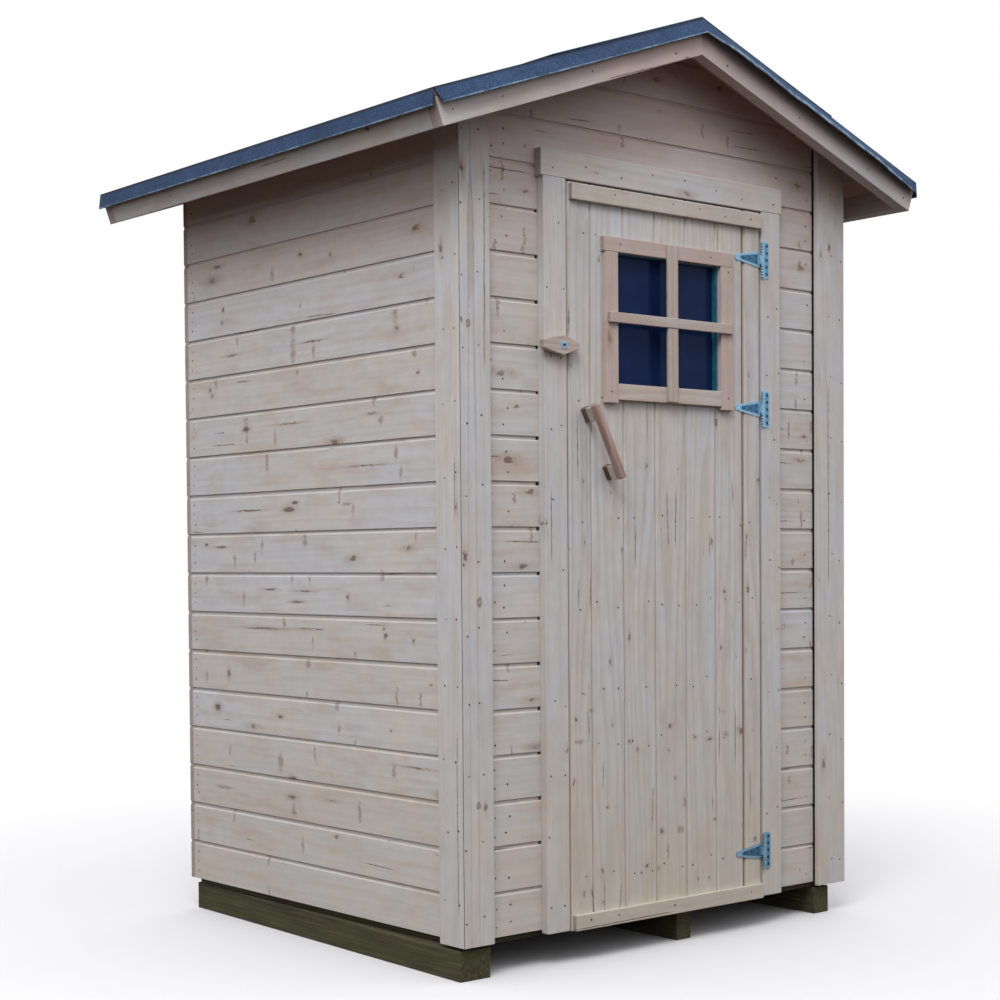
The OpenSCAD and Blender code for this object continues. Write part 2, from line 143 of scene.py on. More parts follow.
class Nodes:
    """A node tree, and the few kinds of node that the finishes are made of."""

    def __init__(self, tree):
        tree.nodes.clear()
        self.tree = tree

    def add(self, kind, *inputs, out=0, named=None, stops=None, **options):
        """Adds a node and gives one output. Values or links fill its sockets in order, or by name."""
        made = self.tree.nodes.new("ShaderNode" + kind)
        for option, value in options.items():
            setattr(made, option, value)
        if stops:
            ramp = made.color_ramp.elements
            while len(ramp) < len(stops):
                ramp.new(0.5)
            for element, (place, colour) in zip(ramp, stops):
                element.position, element.color = place, colour
        pairs = list(zip(made.inputs, inputs))
        pairs += [(made.inputs[key], value) for key, value in (named or {}).items()]
        for socket, value in pairs:
            if isinstance(value, bpy.types.NodeSocket):
                self.tree.links.new(value, socket)
            elif value is not None:
                socket.default_value = value
        return made.outputs[out] if made.outputs else made

    def math(self, operation, *inputs):
        """One number worked out from others."""
        return self.add("Math", *inputs, operation=operation)

    def vector(self, operation, *inputs, **options):
        """One vector worked out from others."""
        return self.add("VectorMath", *inputs, operation=operation, **options)

    def times(self, vector, *factors):
        """A vector with each of its numbers multiplied."""
        return self.vector("MULTIPLY", vector, factors)

    def length(self, vector):
        """How long a vector is."""
        return self.vector("LENGTH", vector, out=1)

    def scaled(self, colour, factor):
        """A colour made lighter or darker."""
        return self.vector("SCALE", colour, named={"Scale": factor})

    def parts(self, vector):
        """The three numbers of a vector."""
        return self.add("SeparateXYZ", vector).node.outputs

    def attribute(self, name, out=2):
        """What the mesh carries under a name: a number, or a vector at output 1."""
        return self.add("Attribute", attribute_name=name, out=out)

    def place(self):
        """Where the surface is, in metres from the part's own origin."""
        return self.add("TexCoord", out=3)

    def noise(self, place, scale, detail, rough=0.5, out=0):
        """Noise round a half: a number, or a vector at output 1."""
        return self.add("TexNoise", place, None, scale, detail, rough, out=out)

    def stray(self, place, detail, rough=0.5):
        """A vector that strays evenly round zero."""
        return self.vector("SUBTRACT", self.noise(place, 1.0, detail, rough, out=1), (0.5, 0.5, 0.5))

    def span(self, value, low, high, out_low=0.0, out_high=1.0):
        """Straight run from one value to another."""
        return self.add("MapRange", value, low, high, out_low, out_high)

    def ramp(self, value, low, high, out_low=0.0, out_high=1.0):
        """Smooth run from one value to another."""
        return self.add("MapRange", value, low, high, out_low, out_high, interpolation_type="SMOOTHSTEP")

    def mix(self, share, under, over):
        """One colour over another; the upper one may be a hex code."""
        over = linear(over) if isinstance(over, str) else over
        return self.add("Mix", share, data_type="RGBA", out=2, named={6: under, 7: over})

    def close(self, bump=None, **sockets):
        """Principled shader and output. sockets are constants or links by name, with _ for a space."""
        named = {key.replace("_", " ").title().replace("Ior", "IOR"): value for key, value in sockets.items()}
        if bump:
            strength, distance, height = bump
            named["Normal"] = self.add("Bump", strength, distance, named={"Height": height})
        self.add("OutputMaterial", self.add("BsdfPrincipled", named=named))


def finish(name, build, *values, **options):
    """The material of this name, whose nodes are built when it is first asked for."""
    made = bpy.data.materials.get(name)
    if made is None:
        made = bpy.data.materials.new(name)
        made.use_nodes = True
        build(Nodes(made.node_tree), *values, **options)
    return made




# Marks that stand out, as (along, up, half length, half height) in mm.
# The knots include drying cracks, and the scars are paler traces of branches.
LEFT_KNOTS = (
    (39, 1838, 10, 6), (-101, 1820, 5, 5), (460, 1858, 22, 5), (431, 1733, 6, 7), (437, 1697, 6, 8),
    (386, 1601, 37, 3), (-13, 1603, 52, 2), (-389, 1601, 11, 7), (506, 1513, 7, 7), (496, 1495, 6, 6),
    (59, 1527, 7, 5), (-474, 1484, 6, 4), (317, 1390, 16, 6), (-280, 1395, 22, 3), (76, 1178, 15, 4),
    (105, 1162, 29, 9), (-247, 1264, 96, 2), (101, 1392, 68, 2), (301, 1162, 62, 2), (457, 1061, 32, 3),
    (71, 911, 29, 3), (204, 943, 30, 2), (37, 940, 38, 2), (-166, 924, 5, 7), (-341, 905, 13, 2),
    (216, 835, 116, 3), (-329, 829, 6, 7), (-323, 847, 4, 4), (-446, 817, 5, 6), (422, 703, 7, 13),
    (546, 762, 11, 4), (484, 603, 16, 9), (-120, 579, 5, 8), (159, 594, 13, 5), (106, 378, 22, 7),
    (100, 431, 15, 4), (-89, 386, 23, 3), (-447, 503, 66, 2), (-515, 713, 5, 3), (-348, 590, 5, 3),
)
LEFT_SCARS = (
    (176, 1804, 9, 16), (78, 1588, 12, 32), (76, 1642, 9, 13), (-20, 1580, 5, 21), (317, 1412, 13, 11),
    (312, 1365, 6, 17), (-318, 1376, 8, 13), (-460, 1530, 7, 11), (-287, 1424, 9, 10), (212, 1294, 7, 22),
    (-380, 1287, 6, 17), (-400, 1239, 6, 15), (-166, 1168, 18, 4), (-193, 1152, 6, 13),
    (-381, 1634, 13, 15), (170, 1360, 5, 22), (359, 1642, 5, 14), (473, 1528, 8, 14), (30, 1074, 10, 16),
    (-460, 1080, 7, 10), (338, 915, 5, 17), (95, 969, 4, 14), (11, 970, 4, 13), (-316, 981, 9, 11),
    (136, 855, 6, 14), (-3, 804, 4, 16), (543, 689, 6, 15), (20, 744, 11, 12), (-111, 639, 10, 13),
    (422, 481, 5, 16), (161, 470, 12, 22), (97, 344, 10, 16), (-360, 488, 8, 20), (242, 1063, 5, 19),
    (383, 1025, 6, 17), (278, 1035, 5, 17), (536, 968, 7, 12), (451, 375, 43, 4), (55, 253, 6, 19),
)
DOOR_KNOTS = (
    (-288, 635, 6, 4), (-318, 679, 4, 3), (-156, 548, 6, 5), (-127, 526, 5, 6), (-8, 579, 6, 6),
    (144, 534, 8, 4), (86, 543, 7, 4), (206, 543, 7, 6), (-235, 385, 5, 4), (-39, 304, 7, 6),
    (-254, 223, 4, 9), (-95, 218, 6, 4), (266, 548, 9, 9), (162, 315, 5, 3), (321, 246, 6, 6),
)
DOOR_SCARS = (
    (32, 302, 11, 9), (-329, 559, 14, 6), (10, 440, 6, 6), (-17, 249, 4, 19),
)


def placed(rows, face, upright):
    """Marks on the wall's left face, or on an upright front face: centres and half sizes in metres."""
    reach = 8 * MM
    rows = [[value * MM for value in row] for row in rows]
    if upright:
        return [((along, face, up), (half, reach, tall)) for along, up, half, tall in rows]
    return [((face, along, up), (reach, half, tall)) for along, up, half, tall in rows]


def spots(n, grain, pitch, share, reach):
    """Places, one in each cell over the grain: the offset from the nearest in metres, its size, its pick."""
    cells = n.times(grain, *(1 / p for p in pitch))
    centre = n.add("TexVoronoi", cells, None, 1.0, out=2, voronoi_dimensions="2D")
    picks = n.parts(centre.node.outputs["Color"])
    offset = n.times(n.vector("SUBTRACT", centre, cells), pitch[0], pitch[1], 0)
    size = n.span(picks[0], 1 - share, 1.0, 0.0, reach)
    return offset, size, picks[1]


def timber(n, pale, grey, tan, dark, warm=0.5, knots=0.4, cracks=0.25, ticks=0.0, resin=0.0, rings=0.2,
           rough=0.78, knot_cell=(0.30, 0.085, 1), knot_size=0.009, crack_cell=(0.24, 0.045, 1),
           crack_half=0.075, light=1.0, splash=0.2, eaves=1.95, joint=None, damp=None, marks=(), flame=None,
           knots_at=(), scars_at=()):
    """Planed softwood: long growth streaks, oval knots the grain bends round, drying cracks and stains."""
    grain, tone, spot = n.attribute("grain", 1), n.attribute("tone"), n.place()
    height_z = n.parts(spot)[2]
    # The whole grain wanders a little, and marks have ragged or torn edges
    wander = n.vector("ADD", n.times(n.stray(n.times(grain, 3, 9, 9), 2.0), 0.0, 0.012, 0.0), grain)
    ragged = n.vector("ADD", n.times(n.stray(n.times(grain, 90, 300, 300), 2.0), 0.010, 0.004, 0.0), wander)
    rip = n.stray(n.times(grain, 55, 110, 110), 3.0, 0.65)
    # Knots: irregular brown hearts with a reddish stain that runs along the grain
    torn = n.vector("ADD", n.times(rip, 0.050, 0.020, 0.0), wander)
    offset, radius, pick = spots(n, torn, knot_cell, knots, knot_size)
    inside = n.math("SUBTRACT", radius, n.length(n.times(offset, 0.6, 1, 0)))
    core = n.ramp(inside, -0.0012, 0.0018, 0.0, 0.95)
    spread = n.length(n.times(offset, 0.28, 1, 0))
    halo = n.ramp(n.math("SUBTRACT", n.math("MULTIPLY", radius, 3.2), spread), 0.0, 0.022)
    # The grain bends round the knots
    bent = n.vector("ADD", wander, n.scaled(n.times(offset, 0, 0.9, 0), halo))
    # Growth streaks: 4 to 12 mm apart and half a metre long
    flow = n.noise(n.times(bent, 0.7, 7, 7), 1.0, 1.0)
    ring = n.math("FRACT", n.math("MULTIPLY_ADD", flow, 9.0, n.math("MULTIPLY", n.parts(bent)[1], 30.0)))
    late = n.math("MULTIPLY", n.ramp(ring, 0.35, 0.9), n.ramp(ring, 0.9, 1.0, 1.0, 0.0))
    streak = n.noise(n.times(bent, 2.0, 75, 75), 1.0, 3.0, 0.6)
    fibre = n.noise(n.times(grain, 14, 520, 520), 1.0, 2.0)
    patch = n.noise(n.times(grain, 4.5, 16, 16), 1.0, 3.0, 0.6)
    cloud = n.noise(n.times(grain, 3.0, 5, 5), 1.0, 3.0, 0.55)
    blotch = n.noise(n.times(grain, 22, 26, 26), 1.0, 2.0)
    # Ground: grey and pale in clouds, tan stains, faint darker growth lines
    ground = n.mix(n.ramp(n.math("MULTIPLY_ADD", tone, 0.22, cloud), 0.48, 0.72), grey, pale)
    ground = n.mix(n.ramp(patch, 0.46, 0.78, 0.0, warm), ground, tan)
    ground = n.mix(n.math("MULTIPLY", halo, n.ramp(blotch, 0.3, 0.7, 0.25, 0.85)), ground, "#A18877")
    ground = n.mix(n.math("MULTIPLY", late, rings), ground, tan)
    shade = n.math("MULTIPLY", n.ramp(streak, 0.2, 0.8, 0.93, 1.05), n.ramp(fibre, 0.2, 0.8, 0.97, 1.025))
    shade = n.math("MULTIPLY", shade, n.ramp(blotch, 0.25, 0.75, 0.965, 1.03))
    shade = n.math("MULTIPLY", shade, n.span(tone, 0.0, 1.0, 1.025 * light, 0.965 * light))
    ground = n.scaled(ground, shade)
    # The lower boards are yellower towards the ground, and a warm painted shade darkens the wood under the
    # eaves
    ground = n.mix(n.ramp(height_z, 0.85, 0.1, 0.0, splash), ground, "#BEAF92")
    ground = n.mix(n.ramp(height_z, eaves, 2.3, 0.0, 0.45), ground, "#C4A09A")

    def nearest(rows):
        """How far the surface is from the nearest placed mark, as a share of the mark's own size."""
        torn_spot = n.vector("ADD", spot, n.times(rip, 0.022, 0.022, 0.011))
        near = None
        for centre, halves in rows:
            scale = tuple(1 / h for h in halves)
            shift = tuple(-c * k for c, k in zip(centre, scale))
            away = n.length(n.vector("MULTIPLY_ADD", torn_spot, scale, shift))
            near = away if near is None else n.math("MINIMUM", near, away)
        return n.math("ADD", near, n.span(streak, 0.3, 0.7, 0.4, -0.35))

    def slit(offset, half, lean, way, slant, curved, run, narrow, broad):
        """A leaning, tapered slit along axis way: its half width, and how far aside of it the surface is."""
        along, aside = n.parts(offset)[way], n.parts(offset)[1 - way]
        bend = n.span(lean, 0.0, 1.0, -slant, slant)
        drift = n.math("MULTIPLY", n.math("MULTIPLY", along, along) if curved else along, bend)
        width = n.span(n.math("SUBTRACT", half, n.math("ABSOLUTE", along)), 0.0, run, narrow, broad)
        return width, n.math("ABSOLUTE", n.math("ADD", aside, drift))

    # Drying cracks along the grain
    width, aside = slit(*spots(n, ragged, crack_cell, cracks, crack_half), 0, 0.0045 / crack_half, False,
                        0.05, -0.0008, 0.0013)
    crack = n.ramp(n.math("SUBTRACT", width, aside), -0.0007, 0.0006, 0.0, 0.85)
    core = n.math("MULTIPLY", core, n.ramp(streak, 0.3, 0.6, 0.55, 1.0))
    mark = n.math("MAXIMUM", n.math("MULTIPLY", core, n.span(pick, 0.0, 1.0, 0.6, 1.0)), crack)
    if scars_at:
        patchy = n.ramp(streak, 0.3, 0.65, 0.65, 1.0)
        scar = n.math("MULTIPLY", n.ramp(nearest(scars_at), 1.6, 0.5, 0.0, 0.68), patchy)
        ground = n.mix(scar, ground, "#8C766C")
    if knots_at:
        near = nearest(knots_at)
        ground = n.mix(n.ramp(near, 2.8, 1.0, 0.0, 0.32), ground, "#A08775")
        heart = n.math("MULTIPLY", n.ramp(near, 1.25, 0.4, 0.0, 0.9), n.ramp(streak, 0.3, 0.6, 0.6, 1.0))
        mark = n.math("MAXIMUM", mark, heart)
    for centre, radius in marks:
        # One knot at a known place: a dark rim round a paler heart
        away = n.times(n.vector("SUBTRACT", spot, centre), 1, 0, 0.7)
        away = n.length(n.vector("ADD", away, n.times(rip, 0.012, 0, 0.012)))
        paler = n.ramp(away, 0.0, radius * 0.8, 0.4, 1.0)
        rim = n.math("MULTIPLY", n.ramp(away, radius, radius * 0.6, 0.0, 0.8), paler)
        mark = n.math("MAXIMUM", mark, rim)
    if ticks:
        # Reddish marks across the grain, where branches were cut lengthways
        torn_t = n.vector("ADD", n.times(rip, 0.022, 0.010, 0), ragged)
        cuts = spots(n, torn_t, (0.10, 0.056, 1), ticks, 0.052)
        width, aside = slit(*cuts, 1, 12.0, True, 0.024, -0.0090, 0.0036)
        tick = n.math("SUBTRACT", n.math("MULTIPLY", width, n.ramp(blotch, 0.3, 0.7, 0.5, 1.3)), aside)
        patchy = n.ramp(streak, 0.3, 0.65, 0.6, 1.0)
        tick = n.math("MULTIPLY", n.ramp(tick, -0.0028, 0.0014, 0.0, 0.72), patchy)
        ground = n.mix(tick, ground, "#816C63")
    if flame:
        # A tall brown flame of cut growth rings, with dark edges that run on below it
        place_x, bottom, top, half = flame
        aside = n.parts(n.vector("ADD", spot, n.times(rip, 0.006, 0, 0)))[0]
        aside = n.math("ABSOLUTE", n.math("SUBTRACT", aside, place_x))
        broad = n.ramp(height_z, bottom - 0.5, bottom, half * 1.5, half)
        within = n.math("SUBTRACT", n.math("MULTIPLY", n.ramp(height_z, top, top - 0.16), broad), aside)
        risen = n.ramp(height_z, bottom - 0.04, bottom + 0.08, 0.0, 0.4)
        ground = n.mix(n.math("MULTIPLY", n.ramp(within, -0.001, 0.002), risen), ground, "#9A857C")
        rim = n.ramp(n.math("ABSOLUTE", within), 0.0028, 0.0004)
        rim = n.math("MULTIPLY", rim, n.ramp(height_z, bottom - 0.6, bottom, 0.25, 0.5))
        ground = n.mix(rim, ground, "#8B756C")
    if resin:
        # Long brown resin streaks
        offset, half, _ = spots(n, wander, (1.1, 0.11, 1), resin, 0.26)
        along, aside = (n.math("ABSOLUTE", n.parts(offset)[i]) for i in (0, 1))
        width = n.span(n.math("SUBTRACT", half, along), 0.0, 0.2, -0.0010, 0.0048)
        run = n.ramp(n.math("SUBTRACT", width, aside), -0.0008, 0.0008, 0.0, 0.75)
        ground = n.mix(run, ground, "#93796D")
    # Knots and cracks over the ground
    colour = n.mix(mark, ground, dark)
    if joint:
        # Dirt and painted shade darken the joints, from one depth under the face to another
        shallow, deep, share, joint_dirt_and_shade = joint
        colour = n.mix(n.ramp(n.parts(grain)[2], -shallow, -deep, 0.0, share), colour, joint_dirt_and_shade)
    if damp:
        # Painted shade under the felt flap, darkest along the board's top edge
        colour = n.mix(n.span(tone, 0.0, 1.0, *damp), colour, "#2E323C")
    # Sawn ends show darker end grain
    colour = n.mix(n.math("MULTIPLY", n.attribute("ends"), 0.45), colour, "#886E60")
    height = n.math("ADD", n.math("MULTIPLY", crack, -3.0), n.math("MULTIPLY_ADD", streak, 0.5, fibre))
    shine = n.span(streak, 0.2, 0.8, rough - 0.06, rough + 0.06)
    n.close((0.25, 0.0006, height), base_color=colour, roughness=shine, specular_ior_level=0.25)


def planed(kind):
    """The timber finish for one use."""
    _, c, _ = settings()
    pine, plain = (c.wood_pale, c.wood_grey, c.wood_tan), dict(knots=0.1, cracks=0.0)
    trim = dict(light=1.02, warm=0.42, knots=0.42, knot_size=0.0075, cracks=0.42, crack_cell=(0.95, 0.055, 1),
                crack_half=0.42, resin=0.30, rings=0.12)
    clear = dict(trim, resin=0.0)
    wall = dict(knots=0.5, knot_cell=(0.24, 0.08, 1), cracks=0.45, crack_cell=(0.30, 0.05, 1),
                crack_half=0.11, ticks=0.28, rings=0.14, warm=0.6, splash=0.24, eaves=1.55, light=1.04,
                # Dirt and painted shade in the open joints between wall boards
                joint=(2.5 * MM, 4.5 * MM, 0.2, "#5E4A44"))
    left_x, leaf_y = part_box("left_wall")[0].x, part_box("door_leaf")[0].y
    looks = {
        "wall_wood": ("planed_pine_cladding", *pine, wall),
        "wall_wood_left": ("planed_pine_cladding_knotty", *pine, dict(
            wall, knots=0.12, cracks=0.12, ticks=0.05,
            knots_at=placed(LEFT_KNOTS, left_x, False), scars_at=placed(LEFT_SCARS, left_x, False))),
        "door_wood": ("planed_pine_door_boards", *pine[:2], "#AA9F91", dict(
            knots_at=placed(DOOR_KNOTS, leaf_y, True), scars_at=placed(DOOR_SCARS, leaf_y, True),
            knots=0.35, knot_cell=(0.15, 0.05, 1), knot_size=0.0054, cracks=0.2, crack_cell=(0.34, 0.022, 1),
            crack_half=0.11, splash=0.4, rings=0.36, light=1.025,
            # Dirt and painted shade in the chamfered joints between door boards
            joint=(0.2 * MM, 3.4 * MM, 0.3, "#877A72"))),
        "trim_wood": ("planed_pine_trim", *pine, trim),
        "trim_wood_left": ("planed_pine_trim_knotty", *pine, dict(
            clear, flame=(-0.670, 1.64, 1.98, 0.0085), marks=[((x, -0.6635, z), radius) for x, z, radius in (
                (-0.651, 0.918, 0.0095), (-0.658, 0.426, 0.008), (-0.681, 1.585, 0.008))])),
        # The right front barge board, with painted shade under the felt flap
        "barge_wood": ("planed_pine_damp_barge", *pine, dict(clear, damp=(0.08, 0.44))),
        "batten_wood": ("planed_pine_battens", "#BEB8AE", "#B8B1A6", "#AE9E8A", dict(clear, warm=0.6)),
        "inner_wood": ("fresh_pine", c.inner, c.inner, c.wood_tan, dict(knots=0.5, cracks=0.1, rings=0.4)),
        "slat_wood": ("planed_larch_slats", c.slat, c.slat, c.wood_tan, dict(plain, rings=0.30)),
        "bar_wood": ("planed_pine_bars", "#B1A197", "#B6A89E", c.wood_pale, dict(plain, rings=0.45)),
        # Painted shade: a dark board deep in the door's open joint
        "groove_wood": ("damp_dark_groove", "#5E5047", "#54473F", "#463B34", dict(plain, knots=0.0)),
        # Painted shadow: dark blocks at the ends of the front wall's joints
        "hole_wood": ("broken_tongue_shadow", "#2B2421", "#26201D", "#1F1A18", dict(plain, knots=0.0)),
        "tongue_wood": ("fresh_pine_tongue", "#B1967F", "#A68B74", c.wood_tan, dict(
            plain, knots=0.2, rings=0.3)),
        # The handle's feet are a darker brown than the spacers in front of them
        "foot_wood": ("dark_stained_handle_feet", "#5C4A3A", "#54452F", c.handle, dict(
            plain, cracks=0.3, rings=0.4)),
        "handle_wood": ("stained_pine_handle", c.handle, c.handle, c.slat, dict(
            plain, cracks=0.2, rings=0.4, rough=0.6)),
    }
    name, *ground, options = looks[kind]
    ground = [linear(code) if isinstance(code, str) else code for code in ground]
    return finish(name, timber, *ground, c.knot, **options)


def treated(n, colour):
    """Rough-sawn pressure-treated pine: olive brown, streaked, with coarse saw fibres."""
    grain = n.attribute("grain", 1)
    streak = n.noise(n.times(grain, 5, 120, 120), 1.0, 4.0, 0.65)
    patch = n.noise(n.times(grain, 4, 16, 16), 1.0, 3.0)
    saw = n.noise(grain, 420.0, 3.0)
    base = n.add("ValToRGB", streak, stops=[
        (0.28, linear("#332F22")), (0.52, colour), (0.78, linear("#5F5B46"))])
    base = n.mix(n.span(patch, 0.42, 0.66, 0.0, 0.45), base, "#4B5233")
    n.close((0.6, 0.0015, n.math("ADD", saw, streak)), base_color=base, roughness=0.9, specular_ior_level=0.2)


def mineral_felt(n, colour):
    """Mineral roofing felt: slate granules of 1 to 2 mm on black bitumen, with pale and dark grains."""
    place = n.place()
    grit = n.add("TexVoronoi", place, None, 650.0, out=1)
    cloud, wear = n.noise(place, 5.0, 4.0), n.noise(place, 45.0, 3.0)
    stone = n.add("ValToRGB", n.parts(grit)[0], stops=[
        (0.0, linear("#1A2840")), (0.22, colour), (0.9, linear("#2F4869")), (1.0, linear("#506A89"))])
    dim = n.math("MULTIPLY", n.span(cloud, 0.3, 0.7, 0.8, 1.17), n.span(wear, 0.3, 0.7, 0.8, 1.14))
    stone = n.scaled(stone, dim)
    # Bitumen shows black along the folds, and the cut edges are worn pale; the lifted right flap takes the
    # same pale tone as painted light
    fold = n.attribute("fold")
    stone = n.mix(n.span(n.math("ABSOLUTE", fold), 0.009, 0.003, 0.0, 0.85), stone, "#0D1824")
    paler_painted_tone = n.math("MULTIPLY", n.span(fold, 0.0385, 0.0410, 0.0, 0.6), n.span(wear, 0.35, 0.6, 0.2, 1.0))
    stone = n.mix(paler_painted_tone, stone, "#8FA9B9")
    n.close((0.5, 0.0012, grit.node.outputs[0]), base_color=stone, roughness=0.85, specular_ior_level=0.35)


def metal(n, colour, metallic, rough):
    """Plated or bare steel: fine mottling varies the gloss, and painted shade darkens it near the ground."""
    place = n.place()
    bloom, fine = n.noise(place, 160.0, 3.0), n.noise(place, 1200.0, 2.0)
    # Painted shade: darker below 0.6 m, as on the low hinge
    splash = n.span(n.parts(place)[2], 0.3, 0.6, 0.62, 1.0)
    tint = n.math("MULTIPLY", n.span(bloom, 0.3, 0.7, 0.75, 1.12), splash)
    shine = n.span(fine, 0.25, 0.75, rough - 0.08, rough + 0.1)
    base = n.scaled(tuple(colour)[:3], tint)
    n.close((0.25, 0.0003, fine), base_color=base, metallic=metallic, roughness=shine)


def dark_glass(n, colour):
    """Dark window pane: smooth float glass over an unlit room. Its navy colour and blue specular tint are
    painted reflection of the sky, and the faint clouding is dust and painted reflection.
    """
    dust = n.noise(n.place(), 9.0, 4.0)
    base = n.add("ValToRGB", dust, stops=[(0.3, colour), (0.8, linear("#18294E"))])
    n.close(base_color=base, roughness=n.span(dust, 0.3, 0.8, 0.12, 0.2), specular_ior_level=0.3,
            specular_tint=linear("#3F63B8"))


def painted_rebate_shadow(n):
    """Black strip that paints the shadow in the trim's rebate: matt, fine-pored and almost without light."""
    pores = n.noise(n.place(), 500.0, 3.0)
    base = n.add("ValToRGB", pores, stops=[(0.3, linear("#0C0A0A")), (0.7, linear("#1C1817"))])
    n.close((0.4, 0.0006, pores), base_color=base, roughness=0.95, specular_ior_level=0.1)


def painted_window_edges(n, colour):
    """Blue-green painted shade and sky reflection along the edges of the window opening, with soft mottling.
    """
    brush = n.noise(n.place(), 60.0, 3.0)
    n.close(base_color=n.scaled(tuple(colour)[:3], n.span(brush, 0.3, 0.7, 0.8, 1.15)), roughness=0.45)


def pale_floor(n):
    """Pale floor: it takes the shadow near the object, fades to white further out and reflects little."""
    away = n.length(n.place())
    near = n.add("BsdfDiffuse", linear("#D9D9D9"))
    far = n.add("Emission", (1, 1, 1, 1), 1.0)
    seen = n.add("MixShader", n.ramp(away, 1.4, 3.4), near, far)
    dim = n.add("BsdfDiffuse", linear("#3E3026"))
    path = n.add("LightPath")
    show = n.math("MAXIMUM", path, path.node.outputs["Is Glossy Ray"])
    show = n.math("MAXIMUM", show, path.node.outputs["Is Transmission Ray"])
    n.add("OutputMaterial", n.add("MixShader", show, dim, seen))


def zinc():
    """The zinc plating of the hinges and washers."""
    return finish("blue_zinc_plating", metal, settings()[1].zinc, 0.75, 0.38)


def felt():
    """The felt of the roof."""
    return finish("mineral_roofing_felt", mineral_felt, settings()[1].felt)


def screw_steel():
    """The steel of the screw heads."""
    return finish("dark_screw_steel", metal, linear("#2C4560"), 0.8, 0.45)


# Modelling


def linked(verts, kind):
    """The edges or faces at some vertices, each once and in a fixed order."""
    return list(dict.fromkeys(item for v in verts for item in getattr(v, "link_" + kind)))


def ease(bm, edges, offset, segments=2):
    """Eases edges."""
    bmesh.ops.bevel(bm, geom=edges, offset=offset, segments=segments, profile=0.5, affect="EDGES",
                    material=-1)


def cube(bm, size, centre):
    """A box of a size round a centre."""
    made = bmesh.ops.create_cube(bm, size=1.0)["verts"]
    bmesh.ops.scale(bm, vec=size, verts=made)
    bmesh.ops.translate(bm, vec=centre, verts=made)
    return made


def drawn_out(bm, points, way):
    """A solid: an outline drawn out along a vector. Gives all its vertices."""
    outline = [bm.verts.new(point) for point in points]
    drawn = bmesh.ops.extrude_face_region(bm, geom=[bm.faces.new(outline)])["geom"]
    moved = [g for g in drawn if isinstance(g, bmesh.types.BMVert)]
    bmesh.ops.translate(bm, vec=way, verts=moved)
    return outline + moved


def facing(origin, along, out):
    """Frame of a board: x along the grain, y across, z out of its show face, from its origin corner."""
    along, out = Vector(along).normalized(), Vector(out).normalized()
    turned = Matrix((along, out.cross(along), out)).transposed().to_4x4()
    return Matrix.Translation(Vector(origin)) @ turned


def start_corner(low, high, along, out):
    """The corner of a box that a board in it starts from."""
    reach = along + out.cross(along) - out
    return Vector(low[i] if reach[i] > 0 else high[i] for i in range(3))


